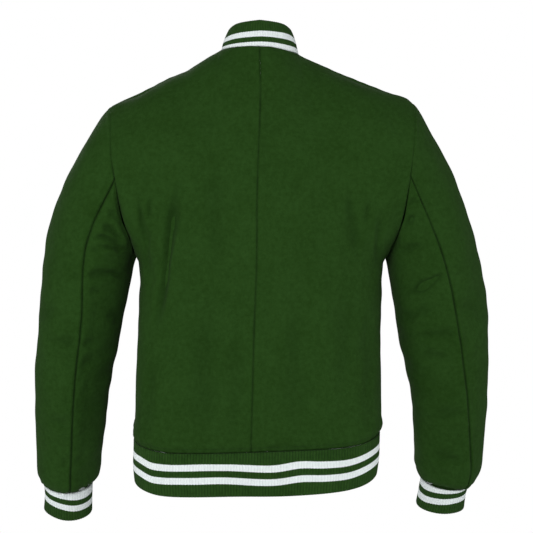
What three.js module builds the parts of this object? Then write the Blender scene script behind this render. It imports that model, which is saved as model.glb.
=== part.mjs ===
// A wool varsity jacket, filled out as when worn and closed at the front, with rib knit collar, cuffs and
// hem band. Millimetres. +Z is up, +X is the wearer's left and -Y the front. The origin is the middle of
// the neck opening, level with the points where the shoulder seams meet the collar.
import * as THREE from "three";

// Cloth and seams
const WOOL = 2.4; // melton wool with its backing
const KNIT = 3.0; // rib knit, folded double
const SEAM_GAP = 0.35; // space between two pieces at a seam
const MITRE_LIMIT = 1.6; // longest seam rim, in cloth thicknesses
const LEAST_SQUARES_PULL = 0.03; // holds a seam rim near its mean direction where cloth turns back

// Rib knit
const RIB_PITCH = 4.2;
const RIB_DEPTH = 0.7;
const POINTS_PER_RIB = 2;

// Torso below the underarm: half width at the side seam, depth behind and before the side seam's plane, how
// much lower the back and higher the front hang for each millimetre of depth, and how square the section is
// (2 is an ellipse)
const UNDERARM_Z = -305;
const UNDERARM_DIP = 20; // how far the level of the underarm falls away from the side seam
const UNDERARM_REACH = 0.22; // share of the width over which it falls
const HEM_SEAM_Z = -585;
const BAND_HEIGHT = 58;
const BAND_END_GAP = 0.0018; // share of the quarter turn between the band and a front's edge
const TORSO = [
  { z: -650, side: 179.5, back: 111, front: 111, backTilt: 0.127, frontTilt: 0.052, square: 4 },
  { z: -620, side: 183.5, back: 112, front: 113, backTilt: 0.1, frontTilt: 0.06, square: 3.9 },
  { z: -585, side: 183.8, back: 112, front: 114, backTilt: 0.07, frontTilt: 0.07, square: 3.7 },
  { z: -565, side: 185.2, back: 113, front: 116, backTilt: 0.066, frontTilt: 0.066, square: 3.6 },
  { z: -500, side: 184, back: 110, front: 115, backTilt: 0.05, frontTilt: 0.05, square: 3.3 },
  { z: -420, side: 182, back: 107, front: 114, backTilt: 0.03, frontTilt: 0.03, square: 3 },
  { z: -350, side: 182, back: 108, front: 116, backTilt: 0.01, frontTilt: 0.01, square: 2.7 },
  { z: -325, side: 183.5, back: 109.5, front: 117, backTilt: 0.004, frontTilt: 0.004, square: 2.6 },
  { z: -305, side: 187, back: 111, front: 118, backTilt: 0, frontTilt: 0, square: 2.5 },
];

// The centre back seam's distance from the middle
const BACK_SEAM = [
  { z: -655, x: 8 },
  { z: -420, x: 7 },
  { z: -290, x: 4 },
  { z: -150, x: 3 },
  { z: 0, x: 0 },
];

// Neck opening and shoulder seam
const NECK = { side: 58, back: 61, backZ: -3, front: 78, frontZ: -70, frontBend: 1.5 };
const SHOULDER = new THREE.Vector3(230, 0, -85);
const OVERLAP = 16; // how far each front passes the middle
const OVERLAP_STEP = 2; // how far the upper front moves out there, and the lower front in
const OVERLAP_FADE = [22, 58]; // distance from the middle over which that step ends

// Tangents of the upper torso's vertical lines, at the underarm and at the top
const RISE = 330;
const ARMHOLE_START = { back: [100, 330, 0], front: [40, -290, 0] };
const ARMHOLE_END = { back: [10, -330, 40], front: [10, 290, 40] };
const OVER_SHOULDER = { back: [0, -255, 25], front: [0, 250, 25] };
const INTO_NECK = { back: [0, -120, 235], front: [0, 60, 215] };
const ARMHOLE_BLEND = 0.3; // share of the width at which the surface begins to flare out to the armhole
const ARMHOLE_CUT = 0.17; // share of the width that the armhole cuts from the torso
const ARMHOLE_CUT_RATE = 7;
const ARMHOLE_CUT_END = [0.4, 1]; // share of the height over which the cut fades out

// Sleeve rings below the armhole, down the sleeve: the ring's middle, half width and half depth, and how
// much nearer to the body and slimmer the left one is than the mean
const SLEEVE = [
  { z: -333, x: 263.7, y: 0, wide: 68, deep: 74, nearer: 1, slimmer: 1.5 },
  { z: -378, x: 271.5, y: -2, wide: 66.7, deep: 70, nearer: 1.5, slimmer: 2.4 },
  { z: -424, x: 277.2, y: -6, wide: 65.1, deep: 66, nearer: 1.9, slimmer: 3.1 },
  { z: -471, x: 283.6, y: -12.5, wide: 61.6, deep: 62, nearer: 1.8, slimmer: 2.4 },
  { z: -533, x: 289.5, y: -24, wide: 57.1, deep: 58, nearer: 2.8, slimmer: 2 },
  { z: -596, x: 292.9, y: -39, wide: 53.4, deep: 54, nearer: 3.4, slimmer: 1.7 },
  { z: -638, x: 295.2, y: -51, wide: 51.3, deep: 52, nearer: 3.3, slimmer: 1.3 },
  { z: -652, x: 294.8, y: -55.5, wide: 48, deep: 50, nearer: 2.3, slimmer: 0 },
  { z: -661, x: 294.6, y: -58.4, wide: 43.5, deep: 45, nearer: 1.1, slimmer: 0 },
  { z: -667, x: 294.3, y: -60.4, wide: 38, deep: 38.5, nearer: 0.6, slimmer: 0 },
];
// The way the sleeve leaves the armhole, at the shoulder and at the underarm
const CAP_TOP = { left: [0.63, 0, -0.78], right: [0.59, 0, -0.81] };
const CAP_UNDER = [0.25, 0, -0.97];

// How far the back sleeve seam turns round the sleeve, in degrees, on the wearer's left and right
const SEAM_TURN = [
  { z: -667, left: 10.4, right: -39 },
  { z: -533, left: 10.3, right: -24 },
  { z: -405, left: 8.9, right: -13 },
  { z: -378, left: 7.7, right: -11 },
  { z: -333, left: 2, right: -8 },
  { z: -200, left: 0, right: 0 },
];

// Cuff
const CUFF = { left: 46.5, right: 41.5, radius: 37, waist: 0.8 };

// Collar, from the centre back round to the centre front: height and lean towards the neck
const COLLAR = [
  { turn: 0, height: 41.5, lean: 12 },
  { turn: 45, height: 37.5, lean: 12 },
  { turn: 90, height: 31, lean: 11 },
  { turn: 135, height: 32, lean: 8 },
  { turn: 180, height: 30, lean: 4 },
];
const COLLAR_CORNER = 14; // radius of the collar's front corners
const COLLAR_CORNER_HEIGHT = 0.62; // share of its height at its ends
const COLLAR_PART = 0.7; // half the space between the collar's ends
const NECK_AXIS_Y = -6;

// Soft folds, as seen from behind or before: each line's ends, its depth and its half width
const FOLDS = [
  { piece: "back", x0: 121, z0: -193, x1: 151, z1: -415, deep: 5, wide: 14 },
  { piece: "back", x0: 163, z0: -225, x1: 161, z1: -300, deep: 2.5, wide: 12 },
  { piece: "back", x0: -126, z0: -215, x1: -140, z1: -300, deep: 3, wide: 13 },
  { piece: "front", x0: 138, z0: -215, x1: 118, z1: -360, deep: 4, wide: 15 },
  { piece: "front", x0: -142, z0: -220, x1: -128, z1: -330, deep: 3.5, wide: 14 },
  { piece: "sleeve", x0: 200, z0: -262, x1: 246, z1: -244, deep: 3.5, wide: 9 },
  { piece: "sleeve", x0: 214, z0: -300, x1: 262, z1: -288, deep: 3, wide: 10 },
  { piece: "sleeve", x0: 236, z0: -430, x1: 300, z1: -436, deep: 2, wide: 11 },
  { piece: "sleeve", x0: -206, z0: -275, x1: -240, z1: -250, deep: 3, wide: 9 },
  { piece: "sleeve", x0: -222, z0: -368, x1: -272, z1: -346, deep: 3.5, wide: 11 },
  { piece: "sleeve", x0: -230, z0: -440, x1: -300, z1: -428, deep: 2, wide: 11 },
];

// How the whole jacket hangs: a sway to the side, the wearer's left hanging lower, each shoulder in its own
// line, the left armhole nearer the middle behind, the hem rising at the sides and the left cuff worn a
// little higher
const SWAY = [
  { z: -710, x: 7 },
  { z: -585, x: 4.5 },
  { z: -530, x: 3 },
  { z: -430, x: 1 },
  { z: -335, x: -0.6 },
  { z: -230, x: 0 },
  { z: -90, x: -3 },
  { z: 0, x: 0 },
  { z: 45, x: 0 },
];
const LEFT_DROP = 6;
const LEFT_DROP_REACH = 260;
const LEFT_DROP_Z = [-80, -560];
const SHOULDER_LINE = [
  { x: -330, rise: 0 },
  { x: -260, rise: 3 },
  { x: -215, rise: 5 },
  { x: -155, rise: 0 },
  { x: -100, rise: -4 },
  { x: -58, rise: -6 },
  { x: -10, rise: 0 },
  { x: 75, rise: 0 },
  { x: 94, rise: -1.3 },
  { x: 111, rise: -2.9 },
  { x: 130, rise: -1.3 },
  { x: 146, rise: -0.3 },
  { x: 162, rise: -1 },
  { x: 200, rise: -0.2 },
  { x: 235, rise: 0 },
];
const SHOULDER_LINE_Z = [-120, -300];
const COLLAR_LINE_Z = [0, 30];
const LEFT_ARMHOLE = [
  { z: -330, nearer: 0 },
  { z: -305, nearer: 6 },
  { z: -285, nearer: 11 },
  { z: -262, nearer: 10 },
  { z: -205, nearer: 8 },
  { z: -165, nearer: 4.5 },
  { z: -110, nearer: 3.4 },
  { z: -85, nearer: 0 },
];
const LEFT_ARMHOLE_FROM = [140, 195]; // where its shift grows, where it ends and how far back it starts
const LEFT_ARMHOLE_TO = [222, 260];
const LEFT_ARMHOLE_BACK = [5, 40];
const HEM_LINE = [
  { x: -190, rise: 10 },
  { x: -176, rise: 7 },
  { x: -163, rise: 3.4 },
  { x: -148, rise: 0.7 },
  { x: -125, rise: -1.1 },
  { x: -60, rise: -1.5 },
  { x: 0, rise: -1.5 },
  { x: 60, rise: -1.3 },
  { x: 115, rise: -0.6 },
  { x: 142, rise: 1 },
  { x: 163, rise: 4.6 },
  { x: 184, rise: 9 },
];
const HEM_LINE_Z = [-500, -605];
const BODY_SIDE = [195, 210];
const LEFT_CUFF_RISE = 8;
const LEFT_CUFF_X = [205, 235];
const LEFT_CUFF_Z = [-540, -665];

// Snaps down the front
const SNAP = { radius: 7.5, height: 3.4, rim: 1.2, sides: 14, seat: 0.35 };
const SNAP_ROW = { firstZ: -92, lastZ: -615, count: 7 };

// How finely the pieces are divided
const NECK_STEPS = 5;
const SHOULDER_STEPS = 9;
const LOWER_STEPS = 6;
const UPPER_STEPS = 12;
const BAND_STEPS = 2;
const CURVE_STEPS = 400;
const HALVINGS = 30; // of the search for a panel's middle edge
const INNER_STEPS = { band: 84, cuff: 26, collar: 52 }; // along the plain inside of each rib knit piece
const CAP_STEPS = 7;
const BACK_SEAM_RING = 6; // ring points from the underarm to the back sleeve seam
const FRONT_SEAM_RING = 4; // and to the front sleeve seam
const SLEEVE_RINGS = [-333, -360, -390, -424, -458, -495, -533, -565, -596, -620, -638, -652, -661, -667];
const ACROSS = NECK_STEPS + SHOULDER_STEPS;
const NECK_SHARE = NECK_STEPS / ACROSS;
const RING = 2 * UPPER_STEPS;

// Colours and roughness
const GREEN_WOOL = 0x21401b;
const GREEN_KNIT = 0x24451d;
const SNAP_WHITE = 0xe8ebe6;
const CLOTH_ROUGHNESS = 0.95;
const ENAMEL_ROUGHNESS = 0.35;

// Small mathematics
const degrees = (angle) => (angle * Math.PI) / 180;
const clamp = (v, low, high) => Math.min(high, Math.max(low, v));
const lerp = (a, b, t) => a + (b - a) * t;
const vector = (list) => new THREE.Vector3(...list);
const label = (side) => (side > 0 ? "left" : "right");
const smooth = (from, to, v) => {
  const t = clamp((v - from) / (to - from), 0, 1);
  return t * t * (3 - 2 * t);
};

// A smooth curve through a table's rows, read at one value of its first column, whichever way that column
// runs
function column(rows, by, name, at) {
  const sign = rows[1][by] > rows[0][by] ? 1 : -1;
  let k = 0;
  while (k < rows.length - 2 && sign * (at - rows[k + 1][by]) > 0) k += 1;
  const slope = (i) => {
    const a = rows[Math.max(i - 1, 0)];
    const b = rows[Math.min(i + 1, rows.length - 1)];
    return (b[name] - a[name]) / (b[by] - a[by]);
  };
  const span = rows[k + 1][by] - rows[k][by];
  const t = clamp((at - rows[k][by]) / span, 0, 1);
  const [h00, h10, h01, h11] = hermiteWeights(t);
  return h00 * rows[k][name] + h10 * slope(k) * span + h01 * rows[k + 1][name] + h11 * slope(k + 1) * span;
}

function hermiteWeights(t) {
  const s = 1 - t;
  return [s * s * (1 + 2 * t), t * s * s, t * t * (3 - 2 * t), -t * t * s];
}

function hermite(p0, m0, p1, m1, t) {
  const [h00, h10, h01, h11] = hermiteWeights(t);
  return new THREE.Vector3()
    .addScaledVector(p0, h00)
    .addScaledVector(m0, h10)
    .addScaledVector(p1, h01)
    .addScaledVector(m1, h11);
}

// Torso surface, for the wearer's left half. face is "back" or "front", across runs from the middle (0) to
// the side seam or armhole (1), and a negative value gives the mirrored point beyond the middle.
function torsoPoint(face, across, z) {
  const wide = column(TORSO, "z", "side", z);
  const deep = column(TORSO, "z", face, z) * (face === "back" ? 1 : -1);
  const square = column(TORSO, "z", "square", z);
  const [c, s] = [Math.cos((across * Math.PI) / 2), Math.sin((across * Math.PI) / 2)];
  const reach = (Math.abs(c) ** square + Math.abs(s) ** square) ** (-1 / square);
  const y = deep * c * reach;
  return new THREE.Vector3(wide * s * reach, y, z - column(TORSO, "z", `${face}Tilt`, z) * y);
}

function topPoint(face, across) {
  if (across > NECK_SHARE)
    return new THREE.Vector3(NECK.side, 0, 0).lerp(SHOULDER, (across - NECK_SHARE) / (1 - NECK_SHARE));
  const turn = ((across / NECK_SHARE) * Math.PI) / 2;
  const [x, c] = [NECK.side * Math.sin(turn), Math.abs(Math.cos(turn))];
  if (face === "back") return new THREE.Vector3(x, NECK.back * c, NECK.backZ * c);
  return new THREE.Vector3(x, -NECK.front * c, NECK.frontZ * c ** NECK.frontBend);
}

// The upper torso's vertical lines start on a row that dips below the underarm away from the side seam
function underarmZ(across) {
  return UNDERARM_Z - UNDERARM_DIP * Math.sin((Math.min(1, (1 - across) / UNDERARM_REACH) * Math.PI) / 2);
}

function risingPoint(face, across, up) {
  const step = 1;
  const low = torsoPoint(face, across, underarmZ(across));
  const below = torsoPoint(face, across, underarmZ(across) - step);
  const neck = clamp(across / NECK_SHARE, 0, 1);
  const start = low.clone().sub(below).multiplyScalar(RISE / step);
  const end = vector(INTO_NECK[face]).lerp(vector(OVER_SHOULDER[face]), neck ** 1.5);
  return hermite(low, start, topPoint(face, across), end, up);
}

// The armhole takes away the side of the torso, and what is left flares out to it
function upperTorsoPoint(face, across, up) {
  const underarm = torsoPoint(face, 1, UNDERARM_Z);
  const armhole = hermite(underarm, vector(ARMHOLE_START[face]), SHOULDER, vector(ARMHOLE_END[face]), up);
  const cut = (1 - Math.exp(-up * ARMHOLE_CUT_RATE)) * (1 - smooth(...ARMHOLE_CUT_END, up));
  const left = 1 - ARMHOLE_CUT * cut;
  const flare = armhole.sub(risingPoint(face, left, up));
  return risingPoint(face, across * left, up).addScaledVector(flare, smooth(ARMHOLE_BLEND, 1, across));
}

function surfacePoint(face, across, level) {
  const share = Math.abs(across);
  const low = underarmZ(share);
  const below = () => torsoPoint(face, share, lerp(low, HEM_SEAM_Z, -level));
  const p = level <= 0 ? below() : upperTorsoPoint(face, share, level);
  return across < 0 ? p.setX(-p.x) : p;
}

// The two fronts pass each other at the middle: the left one lies over the right one. side is 1 on the
// wearer's left and -1 on the right, where every shape is made mirrored.
function facePoint(face, side, across, level) {
  const p = surfacePoint(face, across, level);
  if (face === "front") p.y -= side * OVERLAP_STEP * (1 - smooth(...OVERLAP_FADE, p.x));
  return p;
}

// The share across at which the surface reaches a distance from the middle
function shareAt(face, x, level) {
  let [low, high] = [0, NECK_SHARE];
  for (let k = 0; k < HALVINGS; k++) {
    const middle = (low + high) / 2;
    if (surfacePoint(face, middle, level).x < Math.abs(x)) low = middle;
    else high = middle;
  }
  return Math.sign(x) * low;
}

// The share across of a panel's column: the first one follows the panel's middle edge, and a front's second
// one lies over the other front's edge
function columnShare(face, side, i, level) {
  if (i >= NECK_STEPS) return i / ACROSS;
  if (face === "back") {
    const { z } = surfacePoint(face, 0, level);
    return lerp(shareAt(face, side * column(BACK_SEAM, "z", "x", z), level), NECK_SHARE, i / NECK_STEPS);
  }
  const edge = shareAt(face, OVERLAP, level);
  return i === 0 ? -edge : lerp(edge, NECK_SHARE, (i - 1) / (NECK_STEPS - 1));
}

// Levels of a body panel: below -1 lies the part that runs down beside the band, 0 is the underarm and 1
// the top
function panelLevels(face) {
  const levels = [];
  const bandLevel = BAND_HEIGHT / (underarmZ(0) - HEM_SEAM_Z);
  if (face === "front") for (let k = BAND_STEPS; k > 0; k--) levels.push(-1 - (bandLevel * k) / BAND_STEPS);
  for (let k = -LOWER_STEPS; k < 0; k++) levels.push(k / LOWER_STEPS);
  for (let k = 0; k <= UPPER_STEPS; k++) levels.push(k / UPPER_STEPS);
  return levels;
}

// Sleeve surface. ring counts points round the armhole from the underarm up the back, over the shoulder and
// down the front
function armholePoint(side, ring) {
  const place = (ring + RING) % RING;
  const back = place <= UPPER_STEPS;
  return facePoint(back ? "back" : "front", side, 1, (back ? place : RING - place) / UPPER_STEPS);
}

// The angle of each ring point: 0 at the outer edge, 90 degrees at the back, 180 at the underarm, by length
// of armhole
function ringAngles(side) {
  const walk = (step) => {
    const lengths = [0];
    for (let k = 1; k <= UPPER_STEPS; k++) {
      const gap = armholePoint(side, step * k).distanceTo(armholePoint(side, step * (k - 1)));
      lengths.push(lengths[k - 1] + gap);
    }
    return lengths.map((v) => Math.PI * (1 - v / lengths[UPPER_STEPS]));
  };
  const back = walk(1);
  const front = walk(-1);
  return (ring) => {
    const place = (ring + RING) % RING;
    return place <= UPPER_STEPS ? back[place] : -front[RING - place];
  };
}

// The sleeve's middle line, and the frame of the ring across it
function sleeveFrame(side, z) {
  const at = (h) => {
    const x = column(SLEEVE, "z", "x", h) - side * column(SLEEVE, "z", "nearer", h);
    return new THREE.Vector3(x, column(SLEEVE, "z", "y", h), h);
  };
  const reach = 6;
  const up = at(Math.min(z + reach, SLEEVE[0].z)).sub(at(Math.max(z - reach, SLEEVE.at(-1).z)));
  up.normalize();
  const wide = new THREE.Vector3(1, 0, 0).addScaledVector(up, -up.x).normalize();
  return { middle: at(z), up, wide, deep: up.clone().cross(wide) };
}

function sleeveRingPoint(side, angle, z) {
  const turn = degrees(column(SEAM_TURN, "z", label(side), z));
  const turned = angle + turn * Math.max(0, Math.sin(angle));
  const { middle, wide, deep } = sleeveFrame(side, z);
  const width = column(SLEEVE, "z", "wide", z) - side * column(SLEEVE, "z", "slimmer", z);
  return middle
    .addScaledVector(wide, width * Math.cos(turned))
    .addScaledVector(deep, column(SLEEVE, "z", "deep", z) * Math.sin(turned));
}

function sleeveColumn(side, ring, angle) {
  const start = armholePoint(side, ring);
  const end = sleeveRingPoint(side, angle, SLEEVE_RINGS[0]);
  const next = sleeveRingPoint(side, angle, SLEEVE_RINGS[1]);
  const length = start.distanceTo(end);
  const leave = vector(CAP_UNDER)
    .lerp(vector(CAP_TOP[label(side)]), (1 + Math.cos(angle)) / 2)
    .setLength(length);
  const arrive = next.sub(end).setLength(length);
  const points = [];
  for (let k = 0; k < CAP_STEPS; k++) points.push(hermite(start, leave, end, arrive, k / CAP_STEPS));
  for (const z of SLEEVE_RINGS) points.push(sleeveRingPoint(side, angle, z));
  return points;
}

// Grids of points, one array for each vertical line
function faceGrid(face, side) {
  const lines = [];
  for (let i = 0; i <= ACROSS; i++) {
    const point = (level) => facePoint(face, side, columnShare(face, side, i, level), level);
    lines.push(panelLevels(face).map(point));
  }
  return lines;
}

function sleeveGrid(side, from, to) {
  const angleOf = ringAngles(side);
  const lines = [];
  for (let ring = from; ring <= to; ring++) lines.push(sleeveColumn(side, ring, angleOf(ring)));
  return lines;
}

// Normals of a grid, pointing away from the line that middle() gives
function gridNormals(grid, middle) {
  const last = [grid.length - 1, grid[0].length - 1];
  const normals = grid.map((line, i) =>
    line.map((_, j) => {
      const du = grid[Math.min(i + 1, last[0])][j].clone().sub(grid[Math.max(i - 1, 0)][j]);
      const dv = line[Math.min(j + 1, last[1])].clone().sub(line[Math.max(j - 1, 0)]);
      return du.cross(dv).normalize();
    }),
  );
  let facing = 0;
  const add = (p, i, j) => (facing += normals[i][j].dot(p.clone().sub(middle(p))));
  grid.forEach((line, i) => line.forEach((p, j) => add(p, i, j)));
  if (facing < 0) normals.forEach((line) => line.forEach((n) => n.negate()));
  return normals;
}

const LOOK_FROM_BELOW = 40; // so that the shoulders face up too
const torsoMiddle = (p) => new THREE.Vector3(0, 0, p.z - LOOK_FROM_BELOW);
const sleeveMiddle = (p) => {
  const z = clamp(p.z, SLEEVE.at(-1).z, SLEEVE[0].z);
  return new THREE.Vector3(column(SLEEVE, "z", "x", z), column(SLEEVE, "z", "y", z), p.z);
};

// Soft folds sink the outer points along their normals. They fade out at a piece's edges, and where it
// turns side on.
const FOLD_FACING = [0, 0.5];
function foldDepth(piece, side, p) {
  let depth = 0;
  for (const f of FOLDS) {
    if (f.piece !== piece || Math.sign(f.x0) !== side) continue;
    const dx = f.x1 - f.x0;
    const dz = f.z1 - f.z0;
    const along = ((side * p.x - f.x0) * dx + (p.z - f.z0) * dz) / (dx * dx + dz * dz);
    const t = clamp(along, 0, 1);
    const away = Math.hypot(side * p.x - f.x0 - t * dx, p.z - f.z0 - t * dz);
    depth += f.deep * Math.exp(-((away / f.wide) ** 2));
  }
  return depth;
}

function sinkFolds(panel) {
  const edge = 2;
  panel.grid.forEach((line, i) =>
    line.forEach((p, j) => {
      const inside = Math.min(i, panel.grid.length - 1 - i, j, line.length - 1 - j, edge) / edge;
      const n = panel.normals[i][j];
      const seen = panel.piece === "front" ? -n.y : n.y;
      if (inside <= 0 || seen <= 0) return;
      const depth = foldDepth(panel.piece, panel.side, p) * inside * smooth(...FOLD_FACING, seen);
      p.addScaledVector(n, -depth);
    }),
  );
}

// The seam rim: the vector from a seam's outer point to its inner one that keeps the thickness of every
// piece that meets there, found by least squares and held to a limit
function seamRim(normals, thickness) {
  const mean = new THREE.Vector3();
  normals.forEach((n) => mean.add(n));
  mean.setLength(thickness);
  const a = new THREE.Matrix3().set(0, 0, 0, 0, 0, 0, 0, 0, 0);
  const e = a.elements;
  const right = mean.clone().multiplyScalar(LEAST_SQUARES_PULL);
  [0, 4, 8].forEach((k) => (e[k] += LEAST_SQUARES_PULL));
  for (const n of normals) {
    const v = n.toArray();
    for (let r = 0; r < 3; r++) for (let c = 0; c < 3; c++) e[3 * c + r] += v[r] * v[c];
    right.addScaledVector(n, thickness);
  }
  return right.applyMatrix3(a.invert()).clampLength(thickness, MITRE_LIMIT * thickness).negate();
}

// How far a grid's edge point is pulled back from its seam: square to each edge that it lies on
function pullBack(panel, i, j) {
  const { grid, open } = panel;
  const last = [grid.length - 1, grid[0].length - 1];
  const shift = new THREE.Vector3();
  const add = (inner, ahead, behind) => {
    const along = ahead.clone().sub(behind).normalize();
    const inwards = inner.clone().sub(grid[i][j]);
    shift.add(inwards.addScaledVector(along, -inwards.dot(along)).setLength(SEAM_GAP / 2));
  };
  const ahead = (k, end) => Math.min(k + 1, end);
  const behind = (k) => Math.max(k - 1, 0);
  if (i === 0 && !open.includes("edge")) add(grid[1][j], grid[0][ahead(j, last[1])], grid[0][behind(j)]);
  if (i === last[0]) add(grid[i - 1][j], grid[i][ahead(j, last[1])], grid[i][behind(j)]);
  if (j === 0 && !open.includes("hem")) add(grid[i][1], grid[ahead(i, last[0])][0], grid[behind(i)][0]);
  if (j === last[1]) add(grid[i][j - 1], grid[ahead(i, last[0])][j], grid[behind(i)][j]);
  return shift;
}

// A closed skin of triangles, which becomes a geometry with its faces pointing out
class Skin {
  constructor() {
    this.points = [];
    this.faces = [];
  }
  add(p) {
    return this.points.push(p) - 1;
  }
  quad(a, b, c, d) {
    this.faces.push([a, b, c], [a, c, d]);
  }
  // A seam's rim is split along its shorter diagonal, so that two pieces that meet there are split alike
  rim(a, b, c, d) {
    const long = (m, n) => this.points[m].distanceTo(this.points[n]);
    if (long(a, c) < long(b, d)) this.quad(a, b, c, d);
    else this.quad(b, c, d, a);
  }
  // Joins two lines of points that may have different numbers of points
  zip(a, b) {
    let [i, j] = [0, 0];
    while (i < a.length - 1 || j < b.length - 1) {
      const next = (i + 1) * (b.length - 1) - (j + 1) * (a.length - 1);
      if (j === b.length - 1 || (i < a.length - 1 && next <= 0)) this.faces.push([a[i], a[++i], b[j]]);
      else this.faces.push([a[i], b[j + 1], b[j++]]);
    }
  }
  sheet(lines) {
    for (let i = 0; i + 1 < lines.length; i++)
      for (let j = 0; j + 1 < lines[i].length; j++)
        this.quad(lines[i][j], lines[i + 1][j], lines[i + 1][j + 1], lines[i][j + 1]);
  }
  geometry(mirrored) {
    const hung = this.points.map((p) => hang(p.clone().setX(mirrored ? -p.x : p.x)));
    let volume = 0;
    for (const [a, b, c] of this.faces) volume += hung[a].dot(hung[b].clone().cross(hung[c]));
    const index = volume > 0 ? this.faces.flat() : this.faces.flatMap(([a, b, c]) => [a, c, b]);
    const made = new THREE.BufferGeometry().setFromPoints(hung).setIndex(index);
    made.computeVertexNormals();
    return made;
  }
}

// How the jacket hangs as a whole
function hang(p) {
  const low = smooth(...LEFT_DROP_Z, p.z);
  const reach = Math.sin((clamp(p.x / LEFT_DROP_REACH, -1, 1) * Math.PI) / 2);
  const high = (1 - smooth(...SHOULDER_LINE_Z, p.z)) * (1 - smooth(...COLLAR_LINE_Z, p.z));
  let rise = high * column(SHOULDER_LINE, "x", "rise", p.x);
  const body = smooth(...HEM_LINE_Z, p.z) * (1 - smooth(...BODY_SIDE, Math.abs(p.x)));
  rise += body * column(HEM_LINE, "x", "rise", p.x);
  rise += LEFT_CUFF_RISE * smooth(...LEFT_CUFF_Z, p.z) * smooth(...LEFT_CUFF_X, p.x);
  const armhole = smooth(...LEFT_ARMHOLE_FROM, p.x) * (1 - smooth(...LEFT_ARMHOLE_TO, p.x));
  const nearer = armhole * smooth(...LEFT_ARMHOLE_BACK, p.y) * column(LEFT_ARMHOLE, "z", "nearer", p.z);
  const x = p.x + column(SWAY, "z", "x", p.z) - nearer;
  return new THREE.Vector3(x, p.y, p.z - LEFT_DROP * low * reach + rise);
}

// The wall of a body or sleeve panel. A front's lowest rows keep only the columns beside the middle edge.
function panelWall(panel) {
  const { grid, normals, rims, piece } = panel;
  const skin = new Skin();
  const tabRows = piece === "front" ? BAND_STEPS : 0;
  const kept = (i, j) => i >= 0 && j >= 0 && i < grid.length - 1 && j < grid[0].length - 1
    && (j >= tabRows || i === 0);
  const used = (i, j) => kept(i, j) || kept(i - 1, j) || kept(i, j - 1) || kept(i - 1, j - 1);
  const outer = grid.map((line, i) =>
    line.map((p, j) => used(i, j) && skin.add(p.clone().add(panel.shift(i, j)))),
  );
  const inner = grid.map((line, i) =>
    line.map((p, j) => {
      const rim = rims.get(i * line.length + j) ?? normals[i][j].clone().multiplyScalar(-WOOL);
      return used(i, j) && skin.add(p.clone().add(panel.shift(i, j)).add(rim));
    }),
  );
  for (let i = 0; i < grid.length - 1; i++)
    for (let j = 0; j < grid[0].length - 1; j++) {
      if (!kept(i, j)) continue;
      skin.quad(outer[i][j], outer[i + 1][j], outer[i + 1][j + 1], outer[i][j + 1]);
      skin.quad(inner[i][j], inner[i][j + 1], inner[i + 1][j + 1], inner[i + 1][j]);
      const rim = ([i0, j0], [i1, j1]) =>
        skin.rim(outer[i0][j0], inner[i0][j0], inner[i1][j1], outer[i1][j1]);
      if (!kept(i, j - 1)) rim([i, j], [i + 1, j]);
      if (!kept(i + 1, j)) rim([i + 1, j], [i + 1, j + 1]);
      if (!kept(i, j + 1)) rim([i + 1, j + 1], [i, j + 1]);
      if (!kept(i - 1, j)) rim([i, j + 1], [i, j]);
    }
  return skin;
}

// The panels of both sides, with the seam rims that neighbouring panels share
function bodyPanels() {
  const panels = [];
  const add = (name, piece, side, grid, middle, open) => {
    const normals = gridNormals(grid, middle);
    const panel = { name, piece, side, grid, open, normals, rims: new Map() };
    panel.shift = (i, j) => pullBack(panel, i, j);
    panels.push(panel);
  };
  for (const side of [1, -1]) {
    const name = label(side);
    const top = sleeveGrid(side, BACK_SEAM_RING, RING - FRONT_SEAM_RING);
    const under = sleeveGrid(side, -FRONT_SEAM_RING, BACK_SEAM_RING);
    add(`back_${name}`, "back", side, faceGrid("back", side), torsoMiddle, ["hem"]);
    add(`front_${name}`, "front", side, faceGrid("front", side), torsoMiddle, ["hem", "edge"]);
    add(`sleeve_top_${name}`, "sleeve", side, top, sleeveMiddle, []);
    add(`sleeve_under_${name}`, "sleeve", side, under, sleeveMiddle, []);
  }
  panels.forEach(sinkFolds);
  panels.filter((p) => p.piece === "sleeve").forEach(flattenCuffEnd);
  return panels;
}

// A sleeve's end is square to its way, and as thick as the cuff
function flattenCuffEnd({ grid, rims, side }) {
  const { middle } = sleeveFrame(side, SLEEVE.at(-1).z);
  const last = grid[0].length - 1;
  grid.forEach((line, i) => {
    rims.set(i * line.length + last, middle.clone().sub(line[last]).setLength(KNIT));
  });
}

// The neckline as the panels' points, from the left front's edge round the back to the right front's edge
function necklineVertices(panels) {
  const top = (name) => {
    const panel = panels.find((p) => p.name === name);
    const steps = Array.from({ length: NECK_STEPS + 1 }, (_, i) => i);
    return steps.map((i) => {
      const point = panel.grid[i].at(-1);
      return { point: new THREE.Vector3(point.x * panel.side, point.y, point.z), panel, i };
    });
  };
  return [
    ...top("front_left"),
    ...top("back_left").reverse().slice(1),
    ...top("back_right").slice(1),
    ...top("front_right").reverse().slice(1),
  ];
}

// The collar's rise from a point of the neckline. share is 0 at the centre back and 1 at a front's edge.
function collarRise(point, share) {
  const turn = 180 * share;
  const inwards = new THREE.Vector3(-point.x, NECK_AXIS_Y - point.y, 0).normalize();
  return inwards
    .multiplyScalar(column(COLLAR, "turn", "lean", turn))
    .setZ(column(COLLAR, "turn", "height", turn));
}

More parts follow.
